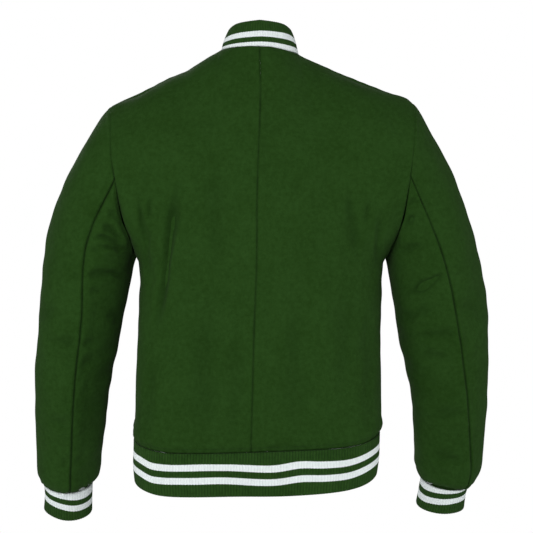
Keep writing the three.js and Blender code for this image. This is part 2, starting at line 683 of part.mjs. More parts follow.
function shareSeams(panels, neckline) {
  const groups = new Map();
  const note = (point, side, entry) => {
    const key = [point.x * side, point.y, point.z].map((v) => Math.round(v * 100)).join();
    if (!groups.has(key)) groups.set(key, []);
    groups.get(key).push(entry);
  };
  for (const panel of panels) {
    const rows = panel.grid[0].length;
    panel.grid.forEach((line, i) =>
      line.forEach((p, j) => {
        if (i > 0 && i < panel.grid.length - 1 && j > 0 && j < rows - 1) return;
        if (panel.piece === "sleeve" && j === rows - 1) return;
        const n = panel.normals[i][j];
        note(p, panel.side, {
          normal: new THREE.Vector3(n.x * panel.side, n.y, n.z),
          keep: (rim) => panel.rims.set(i * rows + j, new THREE.Vector3(rim.x * panel.side, rim.y, rim.z)),
        });
      }),
    );
  }
  neckline.forEach((v, k) => {
    const ahead = neckline[Math.min(k + 1, neckline.length - 1)].point;
    const along = ahead.clone().sub(neckline[Math.max(k - 1, 0)].point);
    const middle = (neckline.length - 1) / 2;
    const rise = collarRise(v.point, Math.abs(k - middle) / middle);
    const normal = along.cross(rise).normalize();
    if (normal.dot(new THREE.Vector3(v.point.x, v.point.y - NECK_AXIS_Y, 0)) < 0) normal.negate();
    note(v.point, 1, { normal, keep: (rim) => (v.rim = rim) });
  });
  for (const entries of groups.values()) {
    if (entries.length < 2) continue;
    const rim = seamRim(entries.map((e) => e.normal), WOOL);
    entries.forEach((e) => e.keep(rim));
  }
}

// Points along a rib knit piece: two for each rib, the first of them raised
function ribCount(length) {
  return Math.round(length / RIB_PITCH) * POINTS_PER_RIB;
}

const evenShares = (count) => Array.from({ length: count + 1 }, (_, k) => k / count);

const ribRelief = (k) => (k % POINTS_PER_RIB === 0 ? RIB_DEPTH : 0);

// The wall of a rib knit piece: raised ribs outside, plain inside. place(u, v, depth) gives its points.
function ribWall(place, { ribs, rows, innerShares, innerRows, closed }) {
  const skin = new Skin();
  const line = (shares, steps, at) => {
    const lines = [];
    shares.forEach((u, i) => {
      if (closed && i === shares.length - 1) lines.push(lines[0]);
      else lines.push(Array.from({ length: steps + 1 }, (_, j) => skin.add(at(i, u, j / steps))));
    });
    return lines;
  };
  const outer = line(evenShares(ribs), rows, (i, u, v) => place(u, v, -ribRelief(i)));
  const inner = line(innerShares, innerRows, (i, u, v) => place(u, v, KNIT));
  skin.sheet(outer);
  skin.sheet(inner.map((l) => [...l].reverse()));
  skin.zip(inner.map((l) => l[0]), outer.map((l) => l[0]));
  skin.zip(outer.map((l) => l.at(-1)), inner.map((l) => l.at(-1)));
  if (!closed) {
    skin.zip(outer[0], inner[0]);
    skin.zip(inner.at(-1), outer.at(-1));
  }
  return skin;
}

// The hem band runs from the left front's tab round the back to the right front's tab
function bandWall() {
  const ringPoint = (u, z) => {
    const quarter = clamp(Math.floor(u * 4), 0, 3);
    const t = u * 4 - quarter;
    const side = quarter < 2 ? 1 : -1;
    const face = quarter === 0 || quarter === 3 ? "front" : "back";
    const level = (z - underarmZ(0)) / (underarmZ(0) - HEM_SEAM_Z);
    const tab = columnShare("front", side, 1, level) + BAND_END_GAP;
    const across = [lerp(tab, 1, t), 1 - t, t, lerp(1, tab, t)][quarter];
    const p = facePoint(face, side, across, (z - underarmZ(across)) / (underarmZ(across) - HEM_SEAM_Z));
    return p.setX(p.x * side);
  };
  const { at, length } = evenly((u) => ringPoint(u, HEM_SEAM_Z));
  const place = (u, v, depth) => {
    const z = lerp(HEM_SEAM_Z - BAND_HEIGHT, HEM_SEAM_Z - SEAM_GAP, v);
    const p = ringPoint(at(u), z);
    const step = 0.002;
    const along = ringPoint(Math.min(at(u) + step, 1), z).sub(ringPoint(Math.max(at(u) - step, 0), z));
    const normal = new THREE.Vector3(along.y, -along.x, 0).normalize();
    if (normal.dot(new THREE.Vector3(p.x, p.y, 0)) < 0) normal.negate();
    return p.addScaledVector(normal, -depth);
  };
  const innerShares = evenShares(INNER_STEPS.band);
  return ribWall(place, { ribs: ribCount(length), rows: 2, innerShares, innerRows: 1, closed: false });
}

// A curve read by its share of length: at(share) gives the curve's own parameter
function evenly(curve) {
  const samples = CURVE_STEPS;
  const lengths = [0];
  for (let k = 1; k <= samples; k++)
    lengths.push(lengths[k - 1] + curve(k / samples).distanceTo(curve((k - 1) / samples)));
  const length = lengths[samples];
  const at = (share) => {
    const want = clamp(share, 0, 1) * length;
    let k = 1;
    while (k < samples && lengths[k] < want) k += 1;
    return (k - 1 + (want - lengths[k - 1]) / (lengths[k] - lengths[k - 1])) / samples;
  };
  const shareOf = (u) => {
    const k = clamp(Math.floor(u * samples), 0, samples - 1);
    return lerp(lengths[k], lengths[k + 1], u * samples - k) / length;
  };
  return { at, shareOf, length };
}

// A cuff hangs from the sleeve's end, along the sleeve's own way there
function cuffWall(side) {
  const { middle, up, wide, deep } = sleeveFrame(side, SLEEVE.at(-1).z);
  const place = (u, v, depth) => {
    const angle = 2 * Math.PI * u;
    const radius = CUFF.radius - CUFF.waist * Math.sin(Math.PI * v) - depth;
    return middle
      .clone()
      .addScaledVector(up, lerp(-CUFF[label(side)], -SEAM_GAP / 2, v))
      .addScaledVector(wide, radius * Math.cos(angle))
      .addScaledVector(deep, radius * Math.sin(angle));
  };
  const ribs = ribCount(2 * Math.PI * CUFF.radius);
  const innerShares = evenShares(INNER_STEPS.cuff);
  return ribWall(place, { ribs, rows: 2, innerShares, innerRows: 1, closed: true });
}

// The collar stands on the neckline, from one front's middle round the back to the other's
function collarWall(neckline) {
  const last = neckline.length - 1;
  const flat = (w) => {
    const k = clamp(Math.floor(w), 0, last - 1);
    const t = w - k;
    return {
      point: neckline[k].point.clone().lerp(neckline[k + 1].point, t),
      rim: neckline[k].rim.clone().lerp(neckline[k + 1].rim, t),
      along: neckline[k + 1].point.clone().sub(neckline[k].point).normalize(),
    };
  };
  const cross = (from, x) => {
    const [a, b] = [neckline[from].point.x, neckline[from + 1].point.x];
    return from + (x - a) / (b - a);
  };
  const [from, to] = [cross(0, COLLAR_PART), cross(last - 1, -COLLAR_PART)];
  const span = evenly((u) => flat(lerp(from, to, u)).point);
  const riseAt = (w) => {
    const { point } = flat(w);
    const rise = collarRise(point, Math.abs(w - last / 2) / (last / 2));
    const fromEnd = Math.min(w - from, to - w) / (to - from);
    const corner = clamp(1 - (fromEnd * span.length) / COLLAR_CORNER, 0, 1);
    return rise.multiplyScalar(lerp(COLLAR_CORNER_HEIGHT, 1, Math.sqrt(1 - corner * corner)));
  };
  const place = (u, v, depth) => {
    const w = lerp(from, to, span.at(u));
    const { point, rim, along } = flat(w);
    const rise = riseAt(w);
    const normal = along.clone().cross(rise).normalize();
    if (normal.dot(new THREE.Vector3(point.x, point.y - NECK_AXIS_Y, 0)) < 0) normal.negate();
    const lift = rise.clone().addScaledVector(along, -rise.dot(along)).setLength(SEAM_GAP);
    const inside = rim.clone().multiplyScalar(depth / WOOL);
    const base = depth > 0 ? inside : normal.clone().multiplyScalar(-depth);
    const top = normal.multiplyScalar(-depth);
    return point.add(lift).addScaledVector(rise, v).add(base.lerp(top, v));
  };
  // The inner points include every corner of the neckline
  const steps = INNER_STEPS.collar;
  const innerShares = evenShares(steps);
  for (let k = 1; k < last; k++) {
    const share = span.shareOf((k - from) / (to - from));
    if (share > 0 && share < 1) innerShares[clamp(Math.round(share * steps), 1, steps - 1)] = share;
  }
  const ribs = ribCount(span.length);
  return ribWall(place, { ribs, rows: 2, innerShares, innerRows: 2, closed: false });
}

// The place of a snap: a plane that touches the left front from outside, at the middle and a height
const BEFORE_THE_FRONT = -500;
function frontAt(front, z) {
  const reach = SNAP.radius * 0.8;
  const ray = new THREE.Raycaster();
  const touch = (dx, dz) => {
    const x = column(SWAY, "z", "x", z) + dx;
    ray.set(new THREE.Vector3(x, BEFORE_THE_FRONT, z + dz), new THREE.Vector3(0, 1, 0));
    return ray.intersectObject(front)[0].point;
  };
  const corners = [touch(-reach, -reach), touch(reach, reach), touch(reach, -reach), touch(-reach, reach)];
  const middle = touch(0, 0);
  const across = corners[3].clone().sub(corners[2]);
  const normal = corners[1].clone().sub(corners[0]).cross(across).normalize();
  if (normal.y > 0) normal.negate();
  const high = Math.max(...corners.map((p) => p.sub(middle).dot(normal)), 0);
  return { point: middle.addScaledVector(normal, high), normal };
}

function snapMesh(front, k) {
  const z = lerp(SNAP_ROW.firstZ, SNAP_ROW.lastZ, k / (SNAP_ROW.count - 1));
  const { point, normal } = frontAt(front, z);
  const profile = [
    new THREE.Vector2(0, 0),
    new THREE.Vector2(SNAP.radius, 0),
    new THREE.Vector2(SNAP.radius, SNAP.rim),
  ];
  for (const turn of [30, 60]) {
    const [s, c] = [Math.sin(degrees(turn)), Math.cos(degrees(turn))];
    profile.push(new THREE.Vector2(SNAP.radius * c, lerp(SNAP.rim, SNAP.height, s)));
  }
  profile.push(new THREE.Vector2(0, SNAP.height));
  const enamel = material("snap", SNAP_WHITE, ENAMEL_ROUGHNESS);
  const mesh = new THREE.Mesh(new THREE.LatheGeometry(profile, SNAP.sides), enamel);
  mesh.quaternion.setFromUnitVectors(new THREE.Vector3(0, 1, 0), normal);
  mesh.position.copy(point.addScaledVector(normal, SNAP.seat));
  mesh.name = `snap_${k + 1}`;
  return mesh;
}

function material(name, color, roughness) {
  return new THREE.MeshStandardMaterial({ name, color, roughness, metalness: 0, side: THREE.DoubleSide });
}

function clothMesh(name, skin, mirrored, color) {
  const mesh = new THREE.Mesh(skin.geometry(mirrored), material(name, color, CLOTH_ROUGHNESS));
  mesh.name = name;
  return mesh;
}

function jacket() {
  const group = new THREE.Group();
  const panels = bodyPanels();
  const neckline = necklineVertices(panels);
  shareSeams(panels, neckline);
  for (const panel of panels)
    group.add(clothMesh(panel.name, panelWall(panel), panel.side < 0, GREEN_WOOL));
  group.add(clothMesh("collar", collarWall(neckline), false, GREEN_KNIT));
  group.add(clothMesh("hem_band", bandWall(), false, GREEN_KNIT));
  group.add(clothMesh("cuff_left", cuffWall(1), false, GREEN_KNIT));
  group.add(clothMesh("cuff_right", cuffWall(-1), true, GREEN_KNIT));
  const front = group.getObjectByName("front_left");
  for (let k = 0; k < SNAP_ROW.count; k++) group.add(snapMesh(front, k));
  return group;
}

export default jacket();
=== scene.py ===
import math

import bpy
import numpy as np
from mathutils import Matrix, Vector


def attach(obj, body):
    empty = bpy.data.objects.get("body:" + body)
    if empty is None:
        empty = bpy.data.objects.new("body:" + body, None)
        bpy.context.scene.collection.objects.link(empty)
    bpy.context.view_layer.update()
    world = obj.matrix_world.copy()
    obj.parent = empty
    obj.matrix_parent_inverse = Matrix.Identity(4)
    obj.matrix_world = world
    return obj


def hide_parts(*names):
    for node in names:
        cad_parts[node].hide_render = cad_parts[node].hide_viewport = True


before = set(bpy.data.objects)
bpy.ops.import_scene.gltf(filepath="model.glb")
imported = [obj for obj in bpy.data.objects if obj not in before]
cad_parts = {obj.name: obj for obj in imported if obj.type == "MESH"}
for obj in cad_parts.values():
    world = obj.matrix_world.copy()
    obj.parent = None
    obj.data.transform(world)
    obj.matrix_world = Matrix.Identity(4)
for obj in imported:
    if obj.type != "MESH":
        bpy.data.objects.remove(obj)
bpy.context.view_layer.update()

MM = 0.001

# Cloth
WOOL = 2.4
KNIT = 3.0
SEAM_GAP = 0.35

# Rib knit: pitch and height of the ribs, points across one rib, and one row of stitches
RIB_PITCH = 4.2
RIB_DEPTH = 0.8
RIB_POINTS = 6
COURSE = 1.3

# The pattern's grid: steps across the neck and shoulder, up the armhole, and round the sleeve
NECK_STEPS = 5
ACROSS = 14
NECK_SHARE = NECK_STEPS / ACROSS
ARMHOLE_STEPS = 12
RING = 2 * ARMHOLE_STEPS
BACK_SEAM_RING = 6
FRONT_SEAM_RING = 4


class Table:
    """Rows of named columns. read() gives a smooth curve through one column, by the value of the first."""

    def __init__(self, names, *rows):
        values = np.array(rows, float)
        values = values[np.argsort(values[:, 0])]
        self.names = names.split()
        self.columns = dict(zip(self.names, values.T))

    def read(self, name, at):
        x = self.columns[self.names[0]]
        y = self.columns[name]
        slope = np.empty_like(y)
        slope[1:-1] = (y[2:] - y[:-2]) / (x[2:] - x[:-2])
        slope[0] = (y[1] - y[0]) / (x[1] - x[0])
        slope[-1] = (y[-1] - y[-2]) / (x[-1] - x[-2])
        k = np.clip(np.searchsorted(x, at) - 1, 0, len(x) - 2)
        span = x[k + 1] - x[k]
        t = np.clip((at - x[k]) / span, 0, 1)
        a, b, c, d = hermite_weights(t)
        return a * y[k] + b * slope[k] * span + c * y[k + 1] + d * slope[k + 1] * span


def hermite_weights(t):
    s = 1 - t
    return s * s * (1 + 2 * t), t * s * s, t * t * (3 - 2 * t), -t * t * s


def hermite(p0, m0, p1, m1, t):
    a, b, c, d = (w[..., None] for w in hermite_weights(np.asarray(t, float)))
    return a * p0 + b * m0 + c * p1 + d * m1


def smooth(start, end, value):
    t = np.clip((value - start) / (end - start), 0, 1)
    return t * t * (3 - 2 * t)


def lerp(a, b, t):
    return a + (b - a) * t


def unit(v):
    return v / np.maximum(np.linalg.norm(v, axis=-1, keepdims=True), 1e-9)


def stack(x, y, z):
    return np.stack(np.broadcast_arrays(x, y, z), axis=-1)


# Torso below the underarm: half width at the side seam, depth behind and before it, how much lower the back
# and higher the front hang for each millimetre of depth, and how square the section is
UNDERARM_Z = -305
UNDERARM_DIP = 20
UNDERARM_REACH = 0.22
HEM_SEAM_Z = -585
BAND_HEIGHT = 58
TORSO = Table(
    "z side back front back_tilt front_tilt square",
    (-650, 179.5, 111, 111, 0.127, 0.052, 4),
    (-620, 183.5, 112, 113, 0.1, 0.06, 3.9),
    (-585, 183.8, 112, 114, 0.07, 0.07, 3.7),
    (-565, 185.2, 113, 116, 0.066, 0.066, 3.6),
    (-500, 184, 110, 115, 0.05, 0.05, 3.3),
    (-420, 182, 107, 114, 0.03, 0.03, 3),
    (-350, 182, 108, 116, 0.01, 0.01, 2.7),
    (-325, 183.5, 109.5, 117, 0.004, 0.004, 2.6),
    (-305, 187, 111, 118, 0, 0, 2.5),
)
BACK_SEAM = Table("z x", (-655, 8), (-420, 7), (-290, 4), (-150, 3), (0, 0))

# Neck opening, shoulder seam and the overlap of the fronts
NECK_SIDE = 58
NECK_BACK = 61
NECK_BACK_Z = -3
NECK_FRONT = 78
NECK_FRONT_Z = -70
NECK_FRONT_BEND = 1.5
SHOULDER = np.array([230.0, 0, -85])
OVERLAP = 16
OVERLAP_STEP = 2
OVERLAP_FADE = (22, 58)

# Tangents of the upper torso's vertical lines, and the armhole's cut
RISE = 330
ARMHOLE_START = {"back": (100, 330, 0), "front": (40, -290, 0)}
ARMHOLE_END = {"back": (10, -330, 40), "front": (10, 290, 40)}
OVER_SHOULDER = {"back": (0, -255, 25), "front": (0, 250, 25)}
INTO_NECK = {"back": (0, -120, 235), "front": (0, 60, 215)}
ARMHOLE_BLEND = 0.3
ARMHOLE_CUT = 0.17
ARMHOLE_CUT_RATE = 7

# Sleeve rings below the armhole
SLEEVE = Table(
    "z x y wide deep nearer slimmer",
    (-333, 263.7, 0, 68, 74, 1, 1.5),
    (-378, 271.5, -2, 66.7, 70, 1.5, 2.4),
    (-424, 277.2, -6, 65.1, 66, 1.9, 3.1),
    (-471, 283.6, -12.5, 61.6, 62, 1.8, 2.4),
    (-533, 289.5, -24, 57.1, 58, 2.8, 2),
    (-596, 292.9, -39, 53.4, 54, 3.4, 1.7),
    (-638, 295.2, -51, 51.3, 52, 3.3, 1.3),
    (-652, 294.8, -55.5, 48, 50, 2.3, 0),
    (-661, 294.6, -58.4, 43.5, 45, 1.1, 0),
    (-667, 294.3, -60.4, 38, 38.5, 0.6, 0),
)
SLEEVE_TOP_Z = -333
SLEEVE_NEXT_Z = -360
SLEEVE_END_Z = -667
CAP_TOP = {1: np.array([0.63, 0, -0.78]), -1: np.array([0.59, 0, -0.81])}
CAP_UNDER = np.array([0.25, 0, -0.97])
SEAM_TURN = Table(
    "z left right",
    (-667, 10.4, -39), (-533, 10.3, -24), (-405, 8.9, -13), (-378, 7.7, -11), (-333, 2, -8), (-200, 0, 0),
)

CUFF_LENGTH = {1: 46.5, -1: 41.5}
CUFF_RADIUS = 37
CUFF_WAIST = 0.8

COLLAR = Table("turn height lean", (0, 41.5, 12), (45, 37.5, 12), (90, 31, 11), (135, 32, 8), (180, 30, 4))
COLLAR_CORNER = 14
COLLAR_CORNER_HEIGHT = 0.62
NECK_AXIS_Y = -6

# How the whole jacket hangs
SWAY = Table(
    "z x", (-710, 7), (-585, 4.5), (-530, 3), (-430, 1), (-335, -0.6), (-230, 0), (-90, -3), (0, 0), (45, 0)
)
LEFT_DROP = 6
LEFT_DROP_REACH = 260
LEFT_DROP_Z = (-80, -560)
SHOULDER_LINE = Table(
    "x rise",
    (-330, 0), (-260, 3), (-215, 5), (-155, 0), (-100, -4), (-58, -6), (-10, 0),
    (75, 0), (94, -1.3), (111, -2.9), (130, -1.3), (146, -0.3), (162, -1), (200, -0.2), (235, 0),
)
SHOULDER_LINE_Z = (-120, -300)
COLLAR_LINE_Z = (0, 30)
LEFT_ARMHOLE = Table(
    "z nearer",
    (-330, 0), (-305, 6), (-285, 11), (-262, 10), (-205, 8), (-165, 4.5), (-110, 3.4), (-85, 0),
)
LEFT_ARMHOLE_FROM = (140, 195)  # where its shift grows, then where it ends, then how far back it starts
LEFT_ARMHOLE_TO = (222, 260)
LEFT_ARMHOLE_BACK = (5, 40)
HEM_LINE = Table(
    "x rise",
    (-190, 10), (-176, 7), (-163, 3.4), (-148, 0.7), (-125, -1.1), (-60, -1.5),
    (0, -1.5), (60, -1.3), (115, -0.6), (142, 1), (163, 4.6), (184, 9),
)
HEM_LINE_Z = (-500, -605)
BODY_SIDE = (195, 210)
LEFT_CUFF_RISE = 8
LEFT_CUFF_X = (205, 235)
LEFT_CUFF_Z = (-540, -665)

# Creases, in places (x, z) before hanging: for each line its depth, or less than 0 for a ridge, its half
# width and the places it runs through
CREASES = {
    ("back", 1): [
        (6.5, 6.5, (119, -205), (129, -275), (137, -318), (143, -362), (150, -410)),
        (-2.2, 8, (149, -262), (153, -300), (158, -350)),
        (-2.0, 12, (110, -245), (120, -300), (128, -350), (133, -420)),
        (2.6, 4, (163, -226), (165, -258)),
        (3.2, 4.5, (184, -228), (180, -262), (176, -292)),
        (1.8, 5, (170, -262), (172, -300), (170, -335)),
        (1.8, 18, (76, -376), (80, -480), (74, -575)),
        (-2.0, 16, (112, -440), (114, -500), (110, -565)),
        (1.6, 14, (62, -180), (66, -260), (60, -330)),
        (1.8, 9, (152, -455), (158, -520), (156, -570)),
        (1.2, 12, (36, -420), (32, -500), (38, -575)),
    ],
    ("back", -1): [
        (3.0, 7, (-128, -215), (-133, -262), (-142, -318)),
        (-2.0, 9, (-108, -225), (-112, -290), (-118, -350)),
        (2.4, 4.5, (-158, -232), (-154, -268)),
        (2.6, 5, (-176, -250), (-172, -290), (-170, -325)),
        (-2.0, 16, (-84, -320), (-88, -400), (-92, -470)),
        (1.8, 13, (-118, -350), (-124, -430), (-120, -520)),
        (1.5, 15, (-52, -380), (-50, -480), (-56, -575)),
        (1.8, 9, (-156, -400), (-162, -480), (-158, -560)),
    ],
    ("front", 1): [
        (5.0, 9, (140, -212), (128, -280), (118, -360)),
        (3.0, 6, (172, -238), (160, -290), (156, -335)),
        (-2.0, 12, (104, -250), (98, -340), (96, -420)),
        (2.0, 14, (80, -410), (74, -480), (72, -560)),
        (2.0, 9, (150, -450), (156, -500), (158, -560)),
    ],
    ("front", -1): [
        (4.5, 9, (-142, -218), (-134, -280), (-126, -345)),
        (3.0, 6, (-172, -246), (-162, -290), (-160, -330)),
        (-2.0, 13, (-104, -260), (-98, -340), (-94, -400)),
        (2.0, 14, (-92, -400), (-86, -470), (-84, -545)),
        (2.2, 10, (-156, -430), (-152, -490), (-150, -560)),
    ],
    ("sleeve", 1): [
        (5.0, 4.5, (253, -281), (236, -282), (221, -290), (207, -299)),
        (5.0, 3.2, (239, -295), (225, -298), (206, -302)),
        (2.5, 3.5, (256, -297), (238, -303)),
        (4.5, 4.5, (237, -262), (228, -273), (213, -286)),
        (2.5, 4, (230, -240), (222, -252), (214, -262)),
        (4.0, 5.5, (262, -332), (246, -337), (216, -335), (196, -345)),
        (2.8, 3.5, (251, -359), (230, -363)),
        (2.4, 7, (226, -392), (214, -398), (206, -412)),
        (3.0, 7, (312, -430), (262, -437), (226, -434)),
        (2.2, 6, (280, -468), (246, -464), (232, -472)),
        (2.2, 9, (322, -548), (290, -556), (258, -560)),
        (2.4, 8, (300, -632), (274, -624), (258, -618)),
        (1.8, 8, (336, -410), (318, -392), (300, -382)),
        (1.6, 5, (272, -330), (266, -346)),
    ],
    ("sleeve", -1): [
        (4.0, 4.5, (-204, -273), (-213, -266), (-226, -256)),
        (2.6, 5, (-214, -238), (-226, -234), (-240, -236)),
        (3.0, 5, (-206, -310), (-220, -302), (-238, -300)),
        (6.5, 5.5, (-218, -375), (-236, -363), (-254, -352), (-273, -341)),
        (2.5, 8, (-214, -412), (-236, -400), (-250, -398)),
        (2.6, 6, (-228, -437), (-262, -434), (-300, -430)),
        (2.2, 6, (-238, -468), (-256, -464), (-280, -470)),
        (2.0, 9, (-256, -560), (-290, -556), (-318, -548)),
        (2.4, 8, (-262, -618), (-286, -624), (-312, -632)),
        (1.6, 8, (-300, -382), (-318, -392), (-338, -410)),
    ],
}


# Torso surface, made for the wearer's left half
def torso_point(face, across, z):
    square = TORSO.read("square", z)
    c = np.cos(across * math.pi / 2)
    s = np.sin(across * math.pi / 2)
    reach = (np.abs(c) ** square + np.abs(s) ** square) ** (-1 / square)
    deep = TORSO.read(face, z) * (1 if face == "back" else -1)
    y = deep * c * reach
    return stack(TORSO.read("side", z) * s * reach, y, z - TORSO.read(face + "_tilt", z) * y)


def top_point(face, across):
    turn = np.minimum(across / NECK_SHARE, 1) * math.pi / 2
    x = NECK_SIDE * np.sin(turn)
    c = np.abs(np.cos(turn))
    if face == "back":
        neck = stack(x, NECK_BACK * c, NECK_BACK_Z * c)
    else:
        neck = stack(x, -NECK_FRONT * c, NECK_FRONT_Z * c**NECK_FRONT_BEND)
    share = np.maximum(across - NECK_SHARE, 0)[..., None] / (1 - NECK_SHARE)
    shoulder = lerp(np.array([NECK_SIDE, 0.0, 0]), SHOULDER, share)
    return np.where((across > NECK_SHARE)[..., None], shoulder, neck)


def underarm_z(across):
    dip = np.sin(np.minimum(1, (1 - across) / UNDERARM_REACH) * math.pi / 2)
    return UNDERARM_Z - UNDERARM_DIP * dip


def rising_point(face, across, up):
    low = torso_point(face, across, underarm_z(across))
    below = torso_point(face, across, underarm_z(across) - 1)
    neck = np.clip(across / NECK_SHARE, 0, 1)[..., None] ** 1.5
    end = lerp(np.array(INTO_NECK[face], float), np.array(OVER_SHOULDER[face], float), neck)
    return hermite(low, (low - below) * RISE, top_point(face, across), end, up)


def upper_torso_point(face, across, up):
    underarm = torso_point(face, np.array(1.0), np.array(float(UNDERARM_Z)))
    start = np.array(ARMHOLE_START[face], float)
    end = np.array(ARMHOLE_END[face], float)
    armhole = hermite(underarm, start, SHOULDER, end, up)
    left = 1 - ARMHOLE_CUT * (1 - np.exp(-up * ARMHOLE_CUT_RATE)) * (1 - smooth(0.4, 1, up))
    flare = armhole - rising_point(face, left, up)
    return rising_point(face, across * left, up) + flare * smooth(ARMHOLE_BLEND, 1, across)[..., None]


def surface_point(face, across, level):
    across, level = np.broadcast_arrays(np.asarray(across, float), np.asarray(level, float))
    share = np.abs(across)
    low = underarm_z(share)
    below = torso_point(face, share, lerp(low, HEM_SEAM_Z, np.maximum(-level, 0)))
    above = upper_torso_point(face, share, np.maximum(level, 0))
    p = np.where((level <= 0)[..., None], below, above)
    p[..., 0] *= np.where(across < 0, -1, 1)
    return p


def face_point(face, side, across, level):
    p = surface_point(face, across, level)
    if face == "front":
        p[..., 1] -= side * OVERLAP_STEP * (1 - smooth(*OVERLAP_FADE, p[..., 0]))
    return p


def share_at(face, x, level):
    """The share across at which the surface reaches a distance from the middle."""
    low = np.zeros(np.shape(level))
    high = np.full(np.shape(level), 0.3)
    for _ in range(26):
        middle = (low + high) / 2
        short = surface_point(face, middle, level)[..., 0] < np.abs(x)
        low = np.where(short, middle, low)
        high = np.where(short, high, middle)
    return np.sign(x) * low


def column_share(face, side, column, level):
    """The share across of a panel's line, counted in the pattern's steps from its middle edge."""
    if face == "back":
        z = surface_point(face, np.zeros(np.shape(level)), level)[..., 2]
        edge = share_at(face, side * BACK_SEAM.read("x", z), level)
        near = lerp(edge, NECK_SHARE, column / NECK_STEPS)
    else:
        edge = share_at(face, np.full(np.shape(level), float(OVERLAP)), level)
        near = np.where(
            column < 1,
            edge * (2 * column - 1),
            lerp(edge, NECK_SHARE, (column - 1) / (NECK_STEPS - 1)),
        )
    return np.where(column >= NECK_STEPS, column / ACROSS, near)


# Sleeve surface
def armhole_point(side, ring):
    place = np.mod(ring, RING)
    back = face_point("back", side, 1.0, np.minimum(place, ARMHOLE_STEPS) / ARMHOLE_STEPS)
    front = face_point("front", side, 1.0, np.minimum(RING - place, ARMHOLE_STEPS) / ARMHOLE_STEPS)
    return np.where((place <= ARMHOLE_STEPS)[..., None], back, front)


def ring_angle(side, ring):
    """0 at the sleeve's outer edge, a quarter turn at the back and a half turn at the underarm, by length."""

    def walk(way):
        points = armhole_point(side, way * np.arange(ARMHOLE_STEPS + 1.0))
        lengths = np.concatenate([[0], np.cumsum(np.linalg.norm(np.diff(points, axis=0), axis=1))])
        return math.pi * (1 - lengths / lengths[-1])

    place = np.mod(ring, RING)
    steps = np.arange(ARMHOLE_STEPS + 1.0)
    back = np.interp(place, steps, walk(1))
    front = -np.interp(RING - place, steps, walk(-1))
    return np.where(place <= ARMHOLE_STEPS, back, front)


def sleeve_middle(side, z):
    return stack(SLEEVE.read("x", z) - side * SLEEVE.read("nearer", z), SLEEVE.read("y", z), z)


def sleeve_frame(side, z):
    reach = 6
    up = sleeve_middle(side, np.minimum(z + reach, SLEEVE_TOP_Z))
    up = unit(up - sleeve_middle(side, np.maximum(z - reach, SLEEVE_END_Z)))
    wide = unit(np.array([1.0, 0, 0]) - up * up[..., :1])
    return sleeve_middle(side, z), up, wide, np.cross(up, wide)


def sleeve_ring_point(side, angle, z):
    angle, z = np.broadcast_arrays(np.asarray(angle, float), np.asarray(z, float))
    turn = np.radians(SEAM_TURN.read("left" if side > 0 else "right", z))
    turned = angle + turn * np.maximum(0, np.sin(angle))
    middle, _, wide, deep = sleeve_frame(side, z)
    half_width = SLEEVE.read("wide", z) - side * SLEEVE.read("slimmer", z)
    across = wide * (half_width * np.cos(turned))[..., None]
    return middle + across + deep * (SLEEVE.read("deep", z) * np.sin(turned))[..., None]


def sleeve_point(side, ring, down):
    """down runs from 0 at the armhole to 1 at the first ring, then counts millimetres below that ring."""
    angle = ring_angle(side, ring)
    start = armhole_point(side, ring)
    end = sleeve_ring_point(side, angle, np.full(np.shape(angle), float(SLEEVE_TOP_Z)))
    after = sleeve_ring_point(side, angle, np.full(np.shape(angle), float(SLEEVE_NEXT_Z)))
    length = np.linalg.norm(start - end, axis=-1, keepdims=True)
    over = ((1 + np.cos(angle)) / 2)[..., None]
    leave = unit(lerp(CAP_UNDER, CAP_TOP[side], over)) * length
    cap = hermite(start, leave, end, unit(after - end) * length, np.clip(down, 0, 1))
    tube = sleeve_ring_point(side, angle, SLEEVE_TOP_Z - np.maximum(down - 1, 0))
    return np.where((down <= 1)[..., None], cap, tube)


def hang(p):
    low = smooth(*LEFT_DROP_Z, p[..., 2])
    reach = np.sin(np.clip(p[..., 0] / LEFT_DROP_REACH, -1, 1) * math.pi / 2)
    high = (1 - smooth(*SHOULDER_LINE_Z, p[..., 2])) * (1 - smooth(*COLLAR_LINE_Z, p[..., 2]))
    rise = high * SHOULDER_LINE.read("rise", p[..., 0])
    body = smooth(*HEM_LINE_Z, p[..., 2]) * (1 - smooth(*BODY_SIDE, np.abs(p[..., 0])))
    rise = rise + body * HEM_LINE.read("rise", p[..., 0])
    rise = rise + LEFT_CUFF_RISE * smooth(*LEFT_CUFF_Z, p[..., 2]) * smooth(*LEFT_CUFF_X, p[..., 0])
    armhole = smooth(*LEFT_ARMHOLE_FROM, p[..., 0]) * (1 - smooth(*LEFT_ARMHOLE_TO, p[..., 0]))
    nearer = armhole * smooth(*LEFT_ARMHOLE_BACK, p[..., 1]) * LEFT_ARMHOLE.read("nearer", p[..., 2])
    x = p[..., 0] + SWAY.read("x", p[..., 2]) - nearer
    return stack(x, p[..., 1], p[..., 2] - LEFT_DROP * low * reach + rise)


def mirrored(p, side):
    return p * np.array([side, 1, 1])


# Grids of points
def spaced(start, end, count, first=1.0, last=1.0):
    """Values from start to end, closer together at an end whose share of the mean step is below 1."""
    t = np.linspace(0, 1, count)
    rate = 1 - (1 - first) * (1 - t) ** 4 - (1 - last) * t**4
    steps = (rate[1:] + rate[:-1]) / 2
    place = np.concatenate([[0], np.cumsum(steps)]) / steps.sum()
    return lerp(start, end, place)


def lengths_along(grid, axis):
    steps = np.linalg.norm(np.diff(grid, axis=axis), axis=-1)
    total = np.cumsum(steps, axis=axis)
    pad = [(0, 0), (0, 0)]
    pad[axis] = (1, 0)
    return np.pad(total, pad)


def grid_normals(grid, middle):
    n = unit(np.cross(np.gradient(grid, axis=0), np.gradient(grid, axis=1)))
    outward = np.sum(n * (grid - middle)) < 0
    return -n if outward else n


